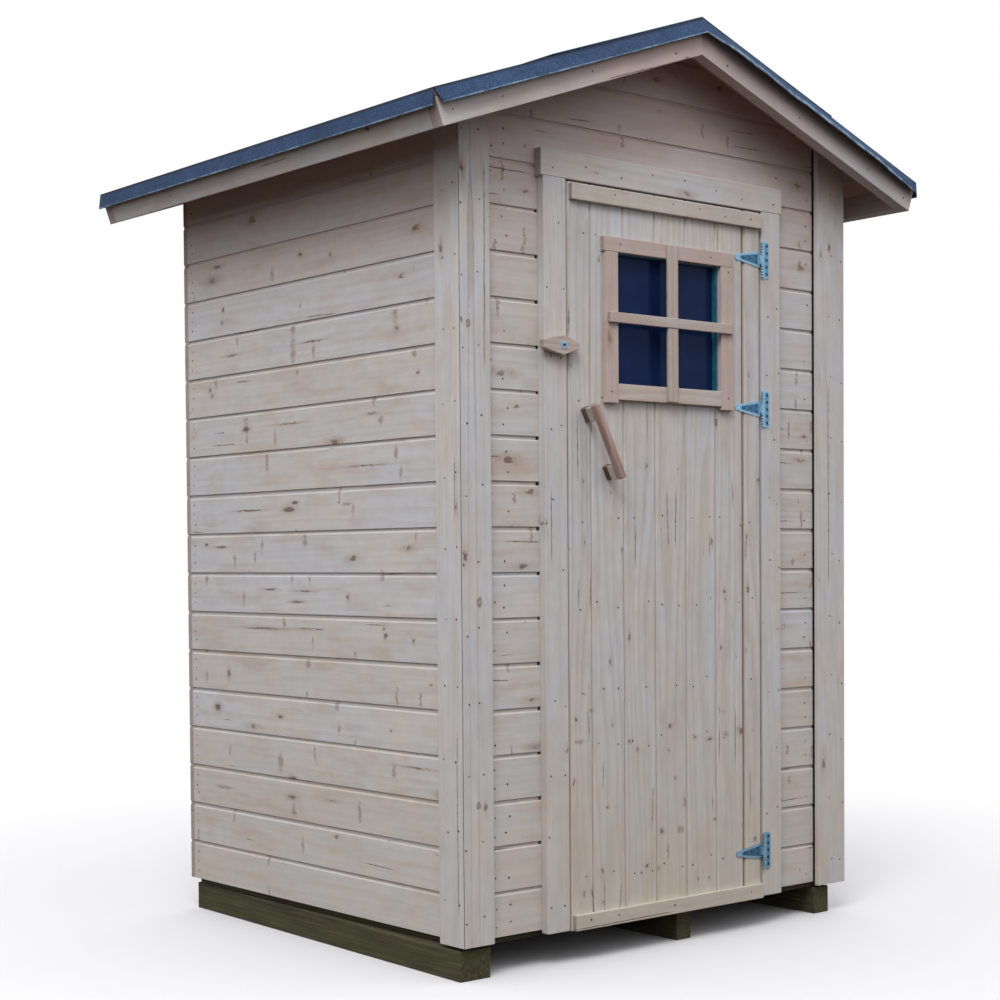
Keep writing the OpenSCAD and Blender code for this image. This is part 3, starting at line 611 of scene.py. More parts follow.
class Boards:
    """Boards gathered into one mesh. Each carries its own grain frame, and a tone from 0 to 1."""

    def __init__(self, seed):
        self.mesh = bmesh.new()
        self.grain = self.mesh.verts.layers.float_vector.new("grain")
        self.tone = self.mesh.verts.layers.float.new("tone")
        self.ends = self.mesh.faces.layers.float.new("ends")
        self.random = random.Random(seed)

    def finish_board(self, old, place, cuts, tone):
        """Puts the new board in place, trims it to the cut planes and writes its grain and tone."""
        bm = self.mesh
        new = [v for v in bm.verts if v not in old]
        bmesh.ops.transform(bm, matrix=place, verts=new)
        for point, normal in cuts:
            if not new:
                return
            geom = new + linked(new, "edges") + linked(new, "faces")
            cut = bmesh.ops.bisect_plane(
                bm, geom=geom, dist=1e-6, plane_co=point, plane_no=normal, clear_outer=True)
            rim = [g for g in cut["geom_cut"] if isinstance(g, bmesh.types.BMEdge)]
            if rim:
                bmesh.ops.edgeloop_fill(bm, edges=rim)
            new = [v for v in bm.verts if v not in old]
        faces = linked(new, "faces")
        bmesh.ops.recalc_face_normals(bm, faces=faces)
        shift = Vector((self.random.uniform(0, 9), self.random.uniform(0, 9), 0))
        tone = self.random.random() if tone is None else tone
        back = place.inverted()
        for v in new:
            local = back @ v.co
            v[self.grain] = local + shift
            v[self.tone] = tone(local) if callable(tone) else tone
        for f in faces:
            f[self.ends] = float(abs(f.normal.dot(place.col[0].xyz)) > 0.8)

    def plank(self, place, length, width, thick, arris=None, cuts=(), tone=None):
        """A planed board with eased arrises: x to length, y to width, z from -thick to 0."""
        old = set(self.mesh.verts)
        made = cube(self.mesh, (length, width, thick), (length / 2, width / 2, -thick / 2))
        ease(self.mesh, linked(made, "edges"), settings()[0].arris if arris is None else arris)
        self.finish_board(old, place, cuts, tone)

    def block(self, low, high, along, out, arris=None, cuts=(), tone=None):
        """A planed board that fills a box, its grain along one axis and its show face out along another."""
        size = Vector(high) - Vector(low)
        length, width, thick = (abs(size.dot(axis)) for axis in (along, out.cross(along), out))
        place = facing(start_corner(low, high, along, out), along, out)
        self.plank(place, length, width, thick, arris, cuts, tone)

    def profile(self, place, length, points, cuts=(), tone=None):
        """A moulded board: its (y, z) outline drawn out along x."""
        old = set(self.mesh.verts)
        drawn_out(self.mesh, [(0, y, z) for y, z in points], (length, 0, 0))
        self.finish_board(old, place, cuts, tone)

    def outline(self, place, points, thick, chamfer, sides, tone):
        """A board sawn to an (x, y) outline, with chamfers along its front edges at the y places in sides."""
        old = set(self.mesh.verts)
        made = drawn_out(self.mesh, [(x, y, 0) for x, y in points], (0, 0, -thick))
        edges = []
        for edge in linked(made, "edges"):
            a, b = (v.co for v in edge.verts)
            in_front = max(abs(a.z), abs(b.z), abs(a.y - b.y)) < 1e-6
            if in_front and any(abs(a.y - side) < 1e-5 for side in sides):
                edges.append(edge)
        ease(self.mesh, edges, chamfer, 1)
        self.finish_board(old, place, (), tone)

    def matched(self, place, length, thick, gap, cuts, tone=None):
        """A tongued and grooved wall board, with an open joint above it."""
        s = settings()[0]
        cover, lip, recess = s.board_pitch, s.board_lip, s.joint_depth
        top, tongue, groove = cover - gap, cover + 4 * MM, 5 * MM
        deep, play = -recess - 5 * MM, 0.4 * MM
        self.profile(place, length, [
            (0, -lip / 3), (lip / 3, 0), (top - lip * 1.2, 0), (top, -lip * 0.6), (top, -recess),
            (tongue, -recess), (tongue, deep), (cover - MM, deep), (cover - MM, -thick), (0, -thick),
            (0, deep - play), (groove, deep - play), (groove, -recess + play), (0, -recess + play),
        ], cuts, tone)

    def next_gap(self):
        """Draws the height of the next joint between wall boards."""
        return settings()[0].board_gap * self.random.uniform(0.85, 1.2)

    def piece(self, name, body, look, slot, *nodes):
        """The finished piece, on its body and in place of its CAD nodes. look is a timber or a material."""
        material = planed(look) if isinstance(look, str) else look
        finish_piece(name, self.mesh, body, material, slot, *nodes)


def finish_piece(name, bm, body, material, slot, *nodes, smooth=None):
    """Turns a bmesh into a named piece on a body, in place of the CAD nodes given."""
    mesh = bpy.data.meshes.new(name)
    bm.to_mesh(mesh)
    bm.free()
    mesh.materials.append(material)
    if smooth is not None:
        mesh.shade_smooth()
        mesh.set_sharp_from_angle(angle=math.radians(smooth))
    made = bpy.data.objects.new(name, mesh)
    bpy.context.scene.collection.objects.link(made)
    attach(made, body)
    if nodes:
        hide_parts(*nodes)


def both_ends(boxes, axis, thick):
    """The two ends of each box along an axis, each so thick."""
    i = axis[:].index(1)
    for low, high in boxes:
        for start in (low[i], high[i] - thick):
            near, far = Vector(low), Vector(high)
            near[i], far[i] = start, start + thick
            yield near, far


def beams(name, node, seed, along, out, look, slot="inner_wood", body=HULL, boxes=None, tones=(), **options):
    """A piece for a CAD node: one board in each of the boxes, or one that fills the node's own box."""
    boards, tones = Boards(seed), iter(tones)
    for low, high in boxes or [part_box(node)]:
        boards.block(low, high, along, out, tone=next(tones, None), **options)
    boards.piece(name, body, look, slot, node)


def stud(bm, place, radius, height, sides=10, dome=0.5):
    """A nail or screw head on a surface: place has z out of the surface."""
    bmesh.ops.create_cone(bm, cap_ends=True, segments=sides, radius1=radius, radius2=radius * dome,
                          depth=height, matrix=place @ Matrix.Translation((0, 0, height / 2)))


def joint_place(name):
    """Where a joint turns."""
    return next(joint for joint in frame["joints"] if joint["name"] == name)["pos_m"]


def roof(turn=1):
    """The roof's underside on one side: ridge height, direction down the slope, and upward normal."""
    ridge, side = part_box("back_wall")[1].z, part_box("left_wall")[1]
    down = Vector((1, 0, -(ridge - side.z) / abs(side.x))).normalized()
    return ridge, Vector((down.x * turn, 0, down.z)), Vector((-down.z * turn, 0, down.x))


def slope_length():
    """Length of the roof boards' underside down the slope."""
    _, down, up = roof()
    return (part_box("roof_deck_right")[1].x - DECK * up.x) / down.x


def roof_cuts(drop=0.0):
    """Cut planes that keep what lies under both roof slopes."""
    top = Vector((0, 0, roof()[0] - drop))
    return [(top, roof(turn)[2]) for turn in (1, -1)]


class OUTHOUSE_OT_side_walls(bpy.types.Operator):
    """Build the side and back walls from horizontal matched boards"""
    bl_idname = "outhouse.side_walls"
    bl_label = "Side and back walls"

    def execute(self, context):
        pitch = settings()[0].board_pitch
        walls = ("left_wall", -Y, -X), ("right_wall", Y, X), ("back_wall", -X, Y)
        for seed, (node, along, out) in enumerate(walls, 40):
            low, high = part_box(node)
            boards = Boards(seed)
            thick, length = abs((high - low).dot(out)), abs((high - low).dot(along))
            start = start_corner(low, high, along, out)
            for row in range(math.ceil((high.z - low.z) / pitch)):
                place = facing(start + Z * row * pitch, along, out)
                boards.matched(place, length, thick, boards.next_gap(), roof_cuts())
            look = "wall_wood_left" if node == "left_wall" else "wall_wood"
            boards.piece(node + "_boards", HULL, look, "wall_wood", node)
        return {"FINISHED"}


class OUTHOUSE_OT_front_wall(bpy.types.Operator):
    """Build the front wall's boards around the doorway"""
    bl_idname = "outhouse.front_wall"
    bl_label = "Front wall"

    def execute(self, context):
        s = settings()[0]
        nodes = ["front_wall_" + part for part in ("left", "right", "gable", "sill")]
        left, right, gable, sill = (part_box(node) for node in nodes)
        boards, joint_end_shadows = Boards(51), Boards(52)
        casing_x, face_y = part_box("casing_left")[0].x, left[0].y
        for row in range(math.ceil((gable[1].z - left[0].z) / s.board_pitch)):
            low_z = left[0].z + row * s.board_pitch
            high_z = low_z + s.board_pitch
            gap = boards.next_gap()
            spans = [(gable[0].x, gable[1].x, [])]
            if low_z < gable[0].z:
                spans = [(left[0].x, left[1].x, []), (right[0].x, right[1].x, [])]
                if high_z > gable[0].z + s.joint_depth:
                    spans.append((left[1].x, right[0].x, [(gable[0], -Z)]))
                if row == 0:
                    spans.append((left[1].x, right[0].x, [(sill[1], Z)]))
            tone = boards.random.random()
            for x0, x1, cuts in spans:
                boards.matched(facing((x0, face_y, low_z), X, -Y), x1 - x0, left[1].y - face_y, gap,
                               cuts + roof_cuts(), tone if x0 == left[0].x else None)
            if row and high_z < gable[0].z:
                # A dark block paints the shadow where the joint meets the door casing
                near, far = casing_x - joint_end_shadows.random.uniform(4, 8) * MM, casing_x + MM
                floor_y = face_y + s.joint_depth
                joint_end_shadows.block((near, floor_y - 0.5 * MM, high_z - gap), (far, floor_y + 2 * MM, high_z), X, -Y,
                            arris=0.1 * MM, tone=1.0)
        boards.piece("front_wall_boards", HULL, "wall_wood", "wall_wood", *nodes)
        joint_end_shadows.piece("front_joint_holes", HULL, "hole_wood", "wall_wood")
        return {"FINISHED"}


class OUTHOUSE_OT_corner_trims(bpy.types.Operator):
    """Build the mitred trims at the front corners"""
    bl_idname = "outhouse.corner_trims"
    bl_label = "Corner trims"
    REBATE, DEEP = 8 * MM, 6 * MM  # width and depth of the rebate

    def execute(self, context):
        gap, spare = settings()[0].mitre_gap, 50 * MM
        for side, turn in (("left", -1), ("right", 1)):
            for wall, out, step, way in (("front", -Y, 0, 1), ("side", X * turn, 5, -1)):
                node = f"trim_{wall}_{side}"
                low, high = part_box(node)
                corner = Vector((high.x if turn > 0 else low.x, low.y, low.z))
                mitre = Vector((turn, 1, 0)).normalized() * way
                cuts = [(corner - mitre * gap, mitre)] + roof_cuts()
                high = high + Z * spare  # the roof's cut planes trim the top
                boards = Boards(60 + turn + step)
                if node == "trim_front_right":
                    self.rebated(boards, low, high, cuts)
                    self.strip(low, high - Z * spare)
                else:
                    boards.block(low, high, Z, out, arris=0.8 * MM, cuts=cuts, tone=0.25)
                look = "trim_wood_left" if node == "trim_front_left" else "trim_wood"
                boards.piece(node + "_board", HULL, look, "trim_wood", node)
        return {"FINISHED"}

    def rebated(self, boards, low, high, cuts):
        """A trim rebated along the wall boards."""
        wide, thick, length = high - low
        inner, lip = wide - self.REBATE, thick - self.DEEP
        points = [(0, 0), (wide - MM, 0), (wide, -MM), (wide, -lip), (inner, -lip), (inner, -thick),
                  (0, -thick)]
        boards.profile(facing(start_corner(low, high, Z, -Y), Z, -Y), length, points, cuts, 0.25)

    def strip(self, low, high):
        """The black strip that paints the shadow in the rebate."""
        near = low.x + 1.5 * MM, high.y - self.DEEP, low.z + 2 * MM
        strip = Boards(68)
        strip.block(near, (low.x + self.REBATE, high.y, high.z), Z, -Y, arris=0.5 * MM, cuts=roof_cuts())
        strip.piece("trim_sealing_strip", HULL, finish("black_foam_strip", painted_rebate_shadow), "roof_felt")


class OUTHOUSE_OT_casings(bpy.types.Operator):
    """Build the casings round the door"""
    bl_idname = "outhouse.casings"
    bl_label = "Casings"

    def execute(self, context):
        casings = ("casing_left", Z), ("casing_right", Z), ("casing_head", X)
        for seed, (node, along) in enumerate(casings, 70):
            beams(node + "_board", node, seed, along, -Y, "trim_wood", "trim_wood",
                  tones=[0.45], arris=2 * MM)
        return {"FINISHED"}


class OUTHOUSE_OT_door_leaf(bpy.types.Operator):
    """Build the door leaf from upright boards round the window opening"""
    bl_idname = "outhouse.door_leaf"
    bl_label = "Door leaf"

    def execute(self, context):
        s = settings()[0]
        low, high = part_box("door_leaf")
        hole_low, hole_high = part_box("window_glass")
        height = high.z - low.z
        z0, z1 = hole_low.z - low.z, hole_high.z - low.z
        edges = [low.x] + [low.x + s.door_first + s.door_pitch * i for i in range(6)] + [high.x]
        boards = Boards(81)
        for i, tone in enumerate((0.6, 0.3, 0.5, 0.6, 0.35, 0.3, 0.55)):
            gap = s.door_open_gap if i == 5 else s.door_gap
            x0 = edges[i] + (s.door_gap / 2 if i else 0)
            x1 = edges[i + 1] - (gap - s.door_gap / 2 if i < 6 else 0)
            width, a, b = x1 - x0, x1 - hole_high.x, x1 - hole_low.x
            near, far, top = (0, 0), (0, width), [(height, 0), (height, width)]
            if a >= width or b <= 0:
                shapes = [[near, *top, far]]
            elif a <= 0 and b >= width:
                shapes = [[near, (z0, 0), (z0, width), far], [(z1, 0), *top, (z1, width)]]
            elif a <= 0:
                shapes = [[near, (z0, 0), (z0, b), (z1, b), (z1, 0), *top, far]]
            else:
                shapes = [[near, *top, (z1, width), (z1, a), (z0, a), (z0, width), far]]
            state = boards.random.getstate()
            for shape in shapes:
                boards.random.setstate(state)
                place = facing((x1, low.y, low.z), Z, -Y)
                boards.outline(place, shape, high.y - low.y, s.door_vee, (0, width), tone)
        boards.piece("door_leaf_boards", DOOR, "door_wood", "wall_wood", "door_leaf")
        # The fresh tongue that shows in the open joint, and behind it a dark board that paints the shade of
        # the deep groove
        for seed, name, sunk, extra, thick in ((82, "tongue", 3.5, -1.5, 3), (83, "groove", 7, 6, 5)):
            boards = Boards(seed)
            place = facing((edges[6] + 3 * MM, low.y + sunk * MM, low.z + 2 * MM), Z, -Y)
            size = height - 4 * MM, s.door_open_gap + extra * MM, thick * MM
            boards.plank(place, *size, arris=0.2 * MM, tone=1.0)
            boards.piece("door_joint_" + name, DOOR, name + "_wood", "wall_wood")
        return {"FINISHED"}


class OUTHOUSE_OT_door_rails(bpy.types.Operator):
    """Build the door's outer battens and inner ledges"""
    bl_idname = "outhouse.door_rails"
    bl_label = "Door battens and ledges"

    def execute(self, context):
        beams("door_batten_boards", "door_battens", 91, X, -Y, "batten_wood", "wall_wood", DOOR,
              both_ends([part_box("door_battens")], Z, 40 * MM), tones=(0.9, 0.5))
        low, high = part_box("door_ledges")
        tall = 66 * MM
        rows = low.z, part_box("window_glass")[0].z - 5.5 * MM - tall, high.z - tall
        beams("door_ledge_boards", "door_ledges", 92, X, Y, "inner_wood", body=DOOR,
              boxes=[((low.x, low.y, z), (high.x, high.y, z + tall)) for z in rows], arris=2 * MM)
        return {"FINISHED"}


class OUTHOUSE_OT_window(bpy.types.Operator):
    """Build the window's slats, glazing bars, painted edge shade and glass"""
    bl_idname = "outhouse.window"
    bl_label = "Window"

    def execute(self, context):
        c = settings()[1]
        low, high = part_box("window_slats")
        hole_low, hole_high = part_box("window_glass")
        tail = 9 * MM
        boards = Boards(101)
        for x0, x1 in ((low.x + 5 * MM, hole_low.x), (hole_high.x, high.x)):
            boards.block((x0, low.y, low.z), (x1, high.y, hole_high.z), Z, -Y, tone=0.2)
        boards.block((low.x, low.y, hole_high.z), high, X, -Y, tone=0.35)
        boards.piece("window_slat_boards", DOOR, "slat_wood", "slat_wood", "window_slats")
        boards = Boards(104)
        boards.block((hole_low.x, low.y, low.z + tail), (hole_high.x, high.y, hole_low.z), X, -Y, tone=0.0)
        boards.piece("window_sill_slat", DOOR, "bar_wood", "slat_wood")
        low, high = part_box("window_bars")
        mid_x, mid_z = (low.x + high.x) / 2, (hole_low.z + hole_high.z) / 2
        half_w, half_h = 18.5 * MM, 13 * MM
        boards = Boards(102)
        near, far = (mid_x - half_w, low.y + 2 * MM, low.z), (mid_x + half_w, high.y, high.z)
        boards.block(near, far, Z, -Y, tone=0.9)
        boards.block((low.x, low.y, mid_z - half_h), (high.x, high.y, mid_z + half_h), X, -Y, tone=0.5)
        boards.piece("window_bar_boards", DOOR, "bar_wood", "slat_wood", "window_bars")
        # Thin strips on the four sides of the opening, in front of the glass, paint the shade and blue
        # reflection along its edges
        a = Vector((hole_low.x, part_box("door_leaf")[0].y, hole_low.z))
        b = Vector((hole_high.x, hole_low.y, hole_high.z))
        edge_strips = Boards(103)
        for out, along, thick in ((X, Z, MM), (-X, Z, 7 * MM), (Z, X, MM), (-Z, X, 2 * MM)):
            near, far = a.copy(), b.copy()
            if max(out) > 0:
                far -= out * ((b - a).dot(out) - thick)
            else:
                near -= out * ((a - b).dot(out) - thick)
            edge_strips.block(near, far, along, out, arris=0.2 * MM)
        edge_strips.piece("window_liner", DOOR, finish("painted_glazing_liner", painted_window_edges, c.bead), "glass")
        bm = bmesh.new()
        cube(bm, hole_high - hole_low, (hole_low + hole_high) / 2)
        ease(bm, bm.edges[:], 0.4 * MM, 1)
        glass = finish("dark_window_glass", dark_glass, c.glass)
        finish_piece("window_pane", bm, DOOR, glass, "glass", "window_glass")
        return {"FINISHED"}


def hinge_heights():
    """Middle heights of the three hinges."""
    low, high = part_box("hinge_leaves")
    half = 50 * MM
    return low.z + half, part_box("window_glass")[0].z - 38.5 * MM, high.z - half


class OUTHOUSE_OT_hinges(bpy.types.Operator):
    """Build the three zinc strap hinges with their knuckles and screws"""
    bl_idname = "outhouse.hinges"
    bl_label = "Hinges"

    def execute(self, context):
        head = settings()[0].screw_radius
        pin = joint_place("door_swing")
        leaf_y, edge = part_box("hinge_leaves")[1].yx
        tip, door_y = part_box("hinge_straps")[0].x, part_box("door_leaf")[0].y
        thick, knuckle, floor = 2.5 * MM, 4 * MM, 0.3 * MM
        leaf_x, root_x = pin[0] + knuckle + MM, pin[0] - knuckle - MM
        leaves, straps, leaf_shade_plates, strap_shade_plates, screws, strap_screws = (bmesh.new() for _ in range(6))
        for z in hinge_heights():
            # Leaf: a plate with cut corners, its knuckles rolled round the pin
            self.plate(leaves, z, [(leaf_x, 50), (edge - 3 * MM, 50), (edge, 46)], leaf_y, thick)
            for side in (-1, 1):
                for ring in range(5):
                    mid, half = z + side * (15.3 + ring * 7.6) * MM, 2.3
                    self.barrel(leaves, pin, mid, half * MM, knuckle)
                    self.plate(leaves, mid, [(pin[0], half), (leaf_x + MM, half)], leaf_y, thick)
            # A thin paler plate paints shade over the middle of the leaf
            shade_outline = [(leaf_x + 7 * MM, 46), (edge - 2.5 * MM, 46)]
            self.plate(leaf_shade_plates, z, shade_outline, leaf_y - thick + floor, 2 * floor)
            for dz in (-38, -19, 0, 19, 38):
                spot = facing((leaf_x + 15 * MM, leaf_y - thick - floor, z + dz * MM), X, -Y)
                stud(screws, spot, head * 1.1, 1.2 * MM, 14, 0.6)
            # Strap: a tapered plate with a rounded tip and one knuckle, and a thin darker plate that paints
            # the shade of a pressed hollow
            self.plate(straps, z, [(tip, 3), (tip + 4 * MM, 7), (root_x, 22.5)], door_y, thick)
            self.barrel(straps, pin, z, 12 * MM, knuckle)
            self.plate(straps, z, [(root_x - thick, 12), (pin[0] - 2.2 * MM, 12)], door_y, door_y - pin[1])
            shade_outline = [(tip + 22 * MM, 0), (tip + 26 * MM, 5), (root_x - 8 * MM, 14.5)]
            self.plate(strap_shade_plates, z, shade_outline, door_y - thick + floor, 2 * floor)
            for dx, dz in ((-15, 8), (-15, -8), (-40, 0), (-66, 0)):
                spot = facing((root_x + dx * MM, door_y - thick - floor, z + dz * MM), X, -Y)
                stud(strap_screws, spot, head * 0.8, 1.1 * MM, 12, 0.6)
        # Darker zinc paints the shade on the straps, and a paler one on the leaves
        shaded = finish("shaded_zinc_hollow", metal, linear("#3F7393"), 0.6, 0.5)
        paler_painted_tone = finish("worn_zinc_hollow", metal, linear("#6499B8"), 0.6, 0.5)
        finish_piece("hinge_leaf_plates", leaves, HULL, zinc(), "zinc", "hinge_leaves", smooth=35)
        finish_piece("hinge_strap_plates", straps, DOOR, zinc(), "zinc", "hinge_straps", smooth=35)
        finish_piece("hinge_leaf_hollows", leaf_shade_plates, HULL, paler_painted_tone, "zinc")
        finish_piece("hinge_strap_hollows", strap_shade_plates, DOOR, shaded, "zinc")
        finish_piece("hinge_leaf_screws", screws, HULL, screw_steel(), "zinc", smooth=30)
        finish_piece("hinge_strap_screws", strap_screws, DOOR, screw_steel(), "zinc", smooth=30)
        return {"FINISHED"}

    @staticmethod
    def plate(bm, z, halves, back_y, thick):
        """A plate with eased edges in front of back_y. halves: places in x and half heights in mm round z."""
        points = [(x, z - half * MM) for x, half in halves]
        points += [(x, z + half * MM) for x, half in reversed(halves)]
        new = drawn_out(bm, [(x, back_y, z) for x, z in dict.fromkeys(points)], (0, -thick, 0))
        bmesh.ops.recalc_face_normals(bm, faces=linked(new, "faces"))
        front = [e for e in linked(new, "edges") if all(v.co.y < back_y - thick / 2 for v in e.verts)]
        ease(bm, front, 0.5 * MM)

    @staticmethod
    def barrel(bm, pin, z, half, radius):
        """One knuckle round the pin."""
        made = bmesh.ops.create_cone(
            bm, cap_ends=True, segments=24, radius1=radius, radius2=radius, depth=2 * half,
            matrix=Matrix.Translation((pin[0], pin[1], z)))["verts"]
        rims = [e for e in linked(made, "edges") if abs(e.verts[0].co.z - e.verts[1].co.z) < 1e-6]
        ease(bm, rims, 0.4 * MM, 1)


class OUTHOUSE_OT_handle(bpy.types.Operator):
    """Build the slanting door handle on its two standoffs"""
    bl_idname = "outhouse.handle"
    bl_label = "Door handle"

    def execute(self, context):
        low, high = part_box("handle_bar")
        foot_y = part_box("door_leaf")[0].y
        lean, length, width, foot, block = math.radians(27), 206 * MM, 18 * MM, 16 * MM, 38 * MM
        along = Vector((-math.sin(lean), 0, math.cos(lean)))
        across = (-Y).cross(along)
        start = (low + high) / 2 - along * length / 2 - across * width / 2
        start.y = 0
        bar = Boards(111)
        size = length, width, high.y - low.y
        bar.plank(facing(start + Y * low.y, along, -Y), *size, arris=4.5 * MM, tone=0.4)
        bar.piece("handle_bar_wood", DOOR, "handle_wood", "handle_wood", "handle_bar")
        for name, look, front, thick, inset, nodes in (
                ("handle_feet", "foot_wood", foot_y - foot, foot, 0.0, ["handle_standoffs"]),
                ("handle_spacers", "batten_wood", high.y, foot_y - foot - high.y, 0.6 * MM, [])):
            blocks = Boards(112)
            size = block - 2 * inset, width - 2 * inset, thick
            for offset in (0.0, length - 7 * MM - block):
                spot = start + along * (offset + inset) + across * inset + Y * front
                blocks.plank(facing(spot, along, -Y), *size, arris=1.2 * MM, tone=0.5)
            blocks.piece(name, DOOR, look, "handle_wood", *nodes)
        return {"FINISHED"}


class OUTHOUSE_OT_turn_button(bpy.types.Operator):
    """Build the six-sided turn button with its screw and washers"""
    bl_idname = "outhouse.turn_button"
    bl_label = "Turn button"

    def execute(self, context):
        low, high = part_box("turn_button")
        x, _, mid = joint_place("button_turn")
        points = [(low.x, mid - 11 * MM), (x, low.z), (high.x, mid - 7.5 * MM),
                  (high.x, mid + 7.5 * MM), (x, high.z), (low.x, mid + 11 * MM)]
        button = Boards(121)
        bm = button.mesh
        drawn_out(bm, [(px - low.x, pz - low.z, 0) for px, pz in points], (0, 0, low.y - high.y))
        bmesh.ops.recalc_face_normals(bm, faces=bm.faces[:])
        ease(bm, bm.edges[:], 1.5 * MM)
        button.finish_board(set(), facing(low, X, -Y), (), 0.7)
        button.piece("turn_button_wood", BUTTON, "bar_wood", "wall_wood", "turn_button")
        screw_low, screw_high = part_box("button_screw")
        head_y = low.y - 1.4 * MM
        for name, material, nodes, studs in (
                ("button_washers", zinc(), ["button_screw"],
                 [(screw_high.y, 10 * MM, 3 * MM, 28, 1.0), (low.y, 10 * MM, 1.5 * MM, 28, 0.95)]),
                ("button_screw_head", screw_steel(), [], [(head_y, 4 * MM, head_y - screw_low.y, 20, 0.7)])):
            bm = bmesh.new()
            for y, *shape in studs:
                stud(bm, facing((x, y, mid), X, -Y), *shape)
            finish_piece(name, bm, HULL, material, "zinc", *nodes, smooth=30)
        return {"FINISHED"}


class OUTHOUSE_OT_roof_timber(bpy.types.Operator):
    """Build the roof boards, barge boards and eave boards"""
    bl_idname = "outhouse.roof_timber"
    bl_label = "Roof timber"

    def execute(self, context):
        cover, reach_y, slope_l = settings()[0].deck_cover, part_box("roof_deck_right")[1].y, slope_length()
        tall, clear, past = 68 * MM, 0.05 * MM, 50 * MM
        deck_size = 2 * reach_y, cover - 0.6 * MM, DECK
        eaves, (low, high) = Boards(150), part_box("eave_boards")
        for side, turn in (("right", 1), ("left", -1)):
            ridge, lean, rise = roof(turn)
            ridge += clear
            plumb = [(Vector(), -X * turn)]  # trims what runs past the ridge
            deck = Boards(130 + turn)
            for i in range(math.ceil(slope_l / cover)):
                corner = Vector((0, reach_y * turn, ridge)) + lean * (slope_l - i * cover)
                deck.plank(facing(corner, -Y * turn, -rise), *deck_size, arris=2 * MM, cuts=plumb)
            deck.piece(f"roof_deck_{side}_boards", HULL, "inner_wood", "inner_wood", f"roof_deck_{side}")
            for end, out, step in (("front", -Y, 0), ("back", Y, 3)):
                node = f"barge_{end}_{side}"
                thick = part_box(node)[1].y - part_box(node)[0].y
                board = Boards(140 + turn + step)
                upright = out.cross(lean).z > 0
                grain = lean if upright else -lean
                start = Vector((0, out.y * reach_y, ridge)) - out.cross(grain) * (tall + clear)
                start += lean * (-past if upright else slope_l)
                # Painted shade under the felt flap on the right front barge board: its tone runs from 0 at
                # the bottom edge to 1 at the top, where it is darkest
                damp = node == "barge_front_right"
                tone = (lambda local: local.y / tall) if damp else 0.6
                board.plank(facing(start, grain, out), slope_l + past, tall, thick, 1.4 * MM, plumb, tone)
                board.piece(node + "_board", HULL, "barge_wood" if damp else "trim_wood", "trim_wood", node)
            start = Vector((0, low.y if turn > 0 else high.y, ridge)) + lean * slope_l - rise * (tall + clear)
            eaves.plank(facing(start, Y * turn, lean), high.y - low.y, tall, 20 * MM, tone=0.3)
        eaves.piece("eave_board_pair", HULL, "trim_wood", "trim_wood", "eave_boards")
        return {"FINISHED"}


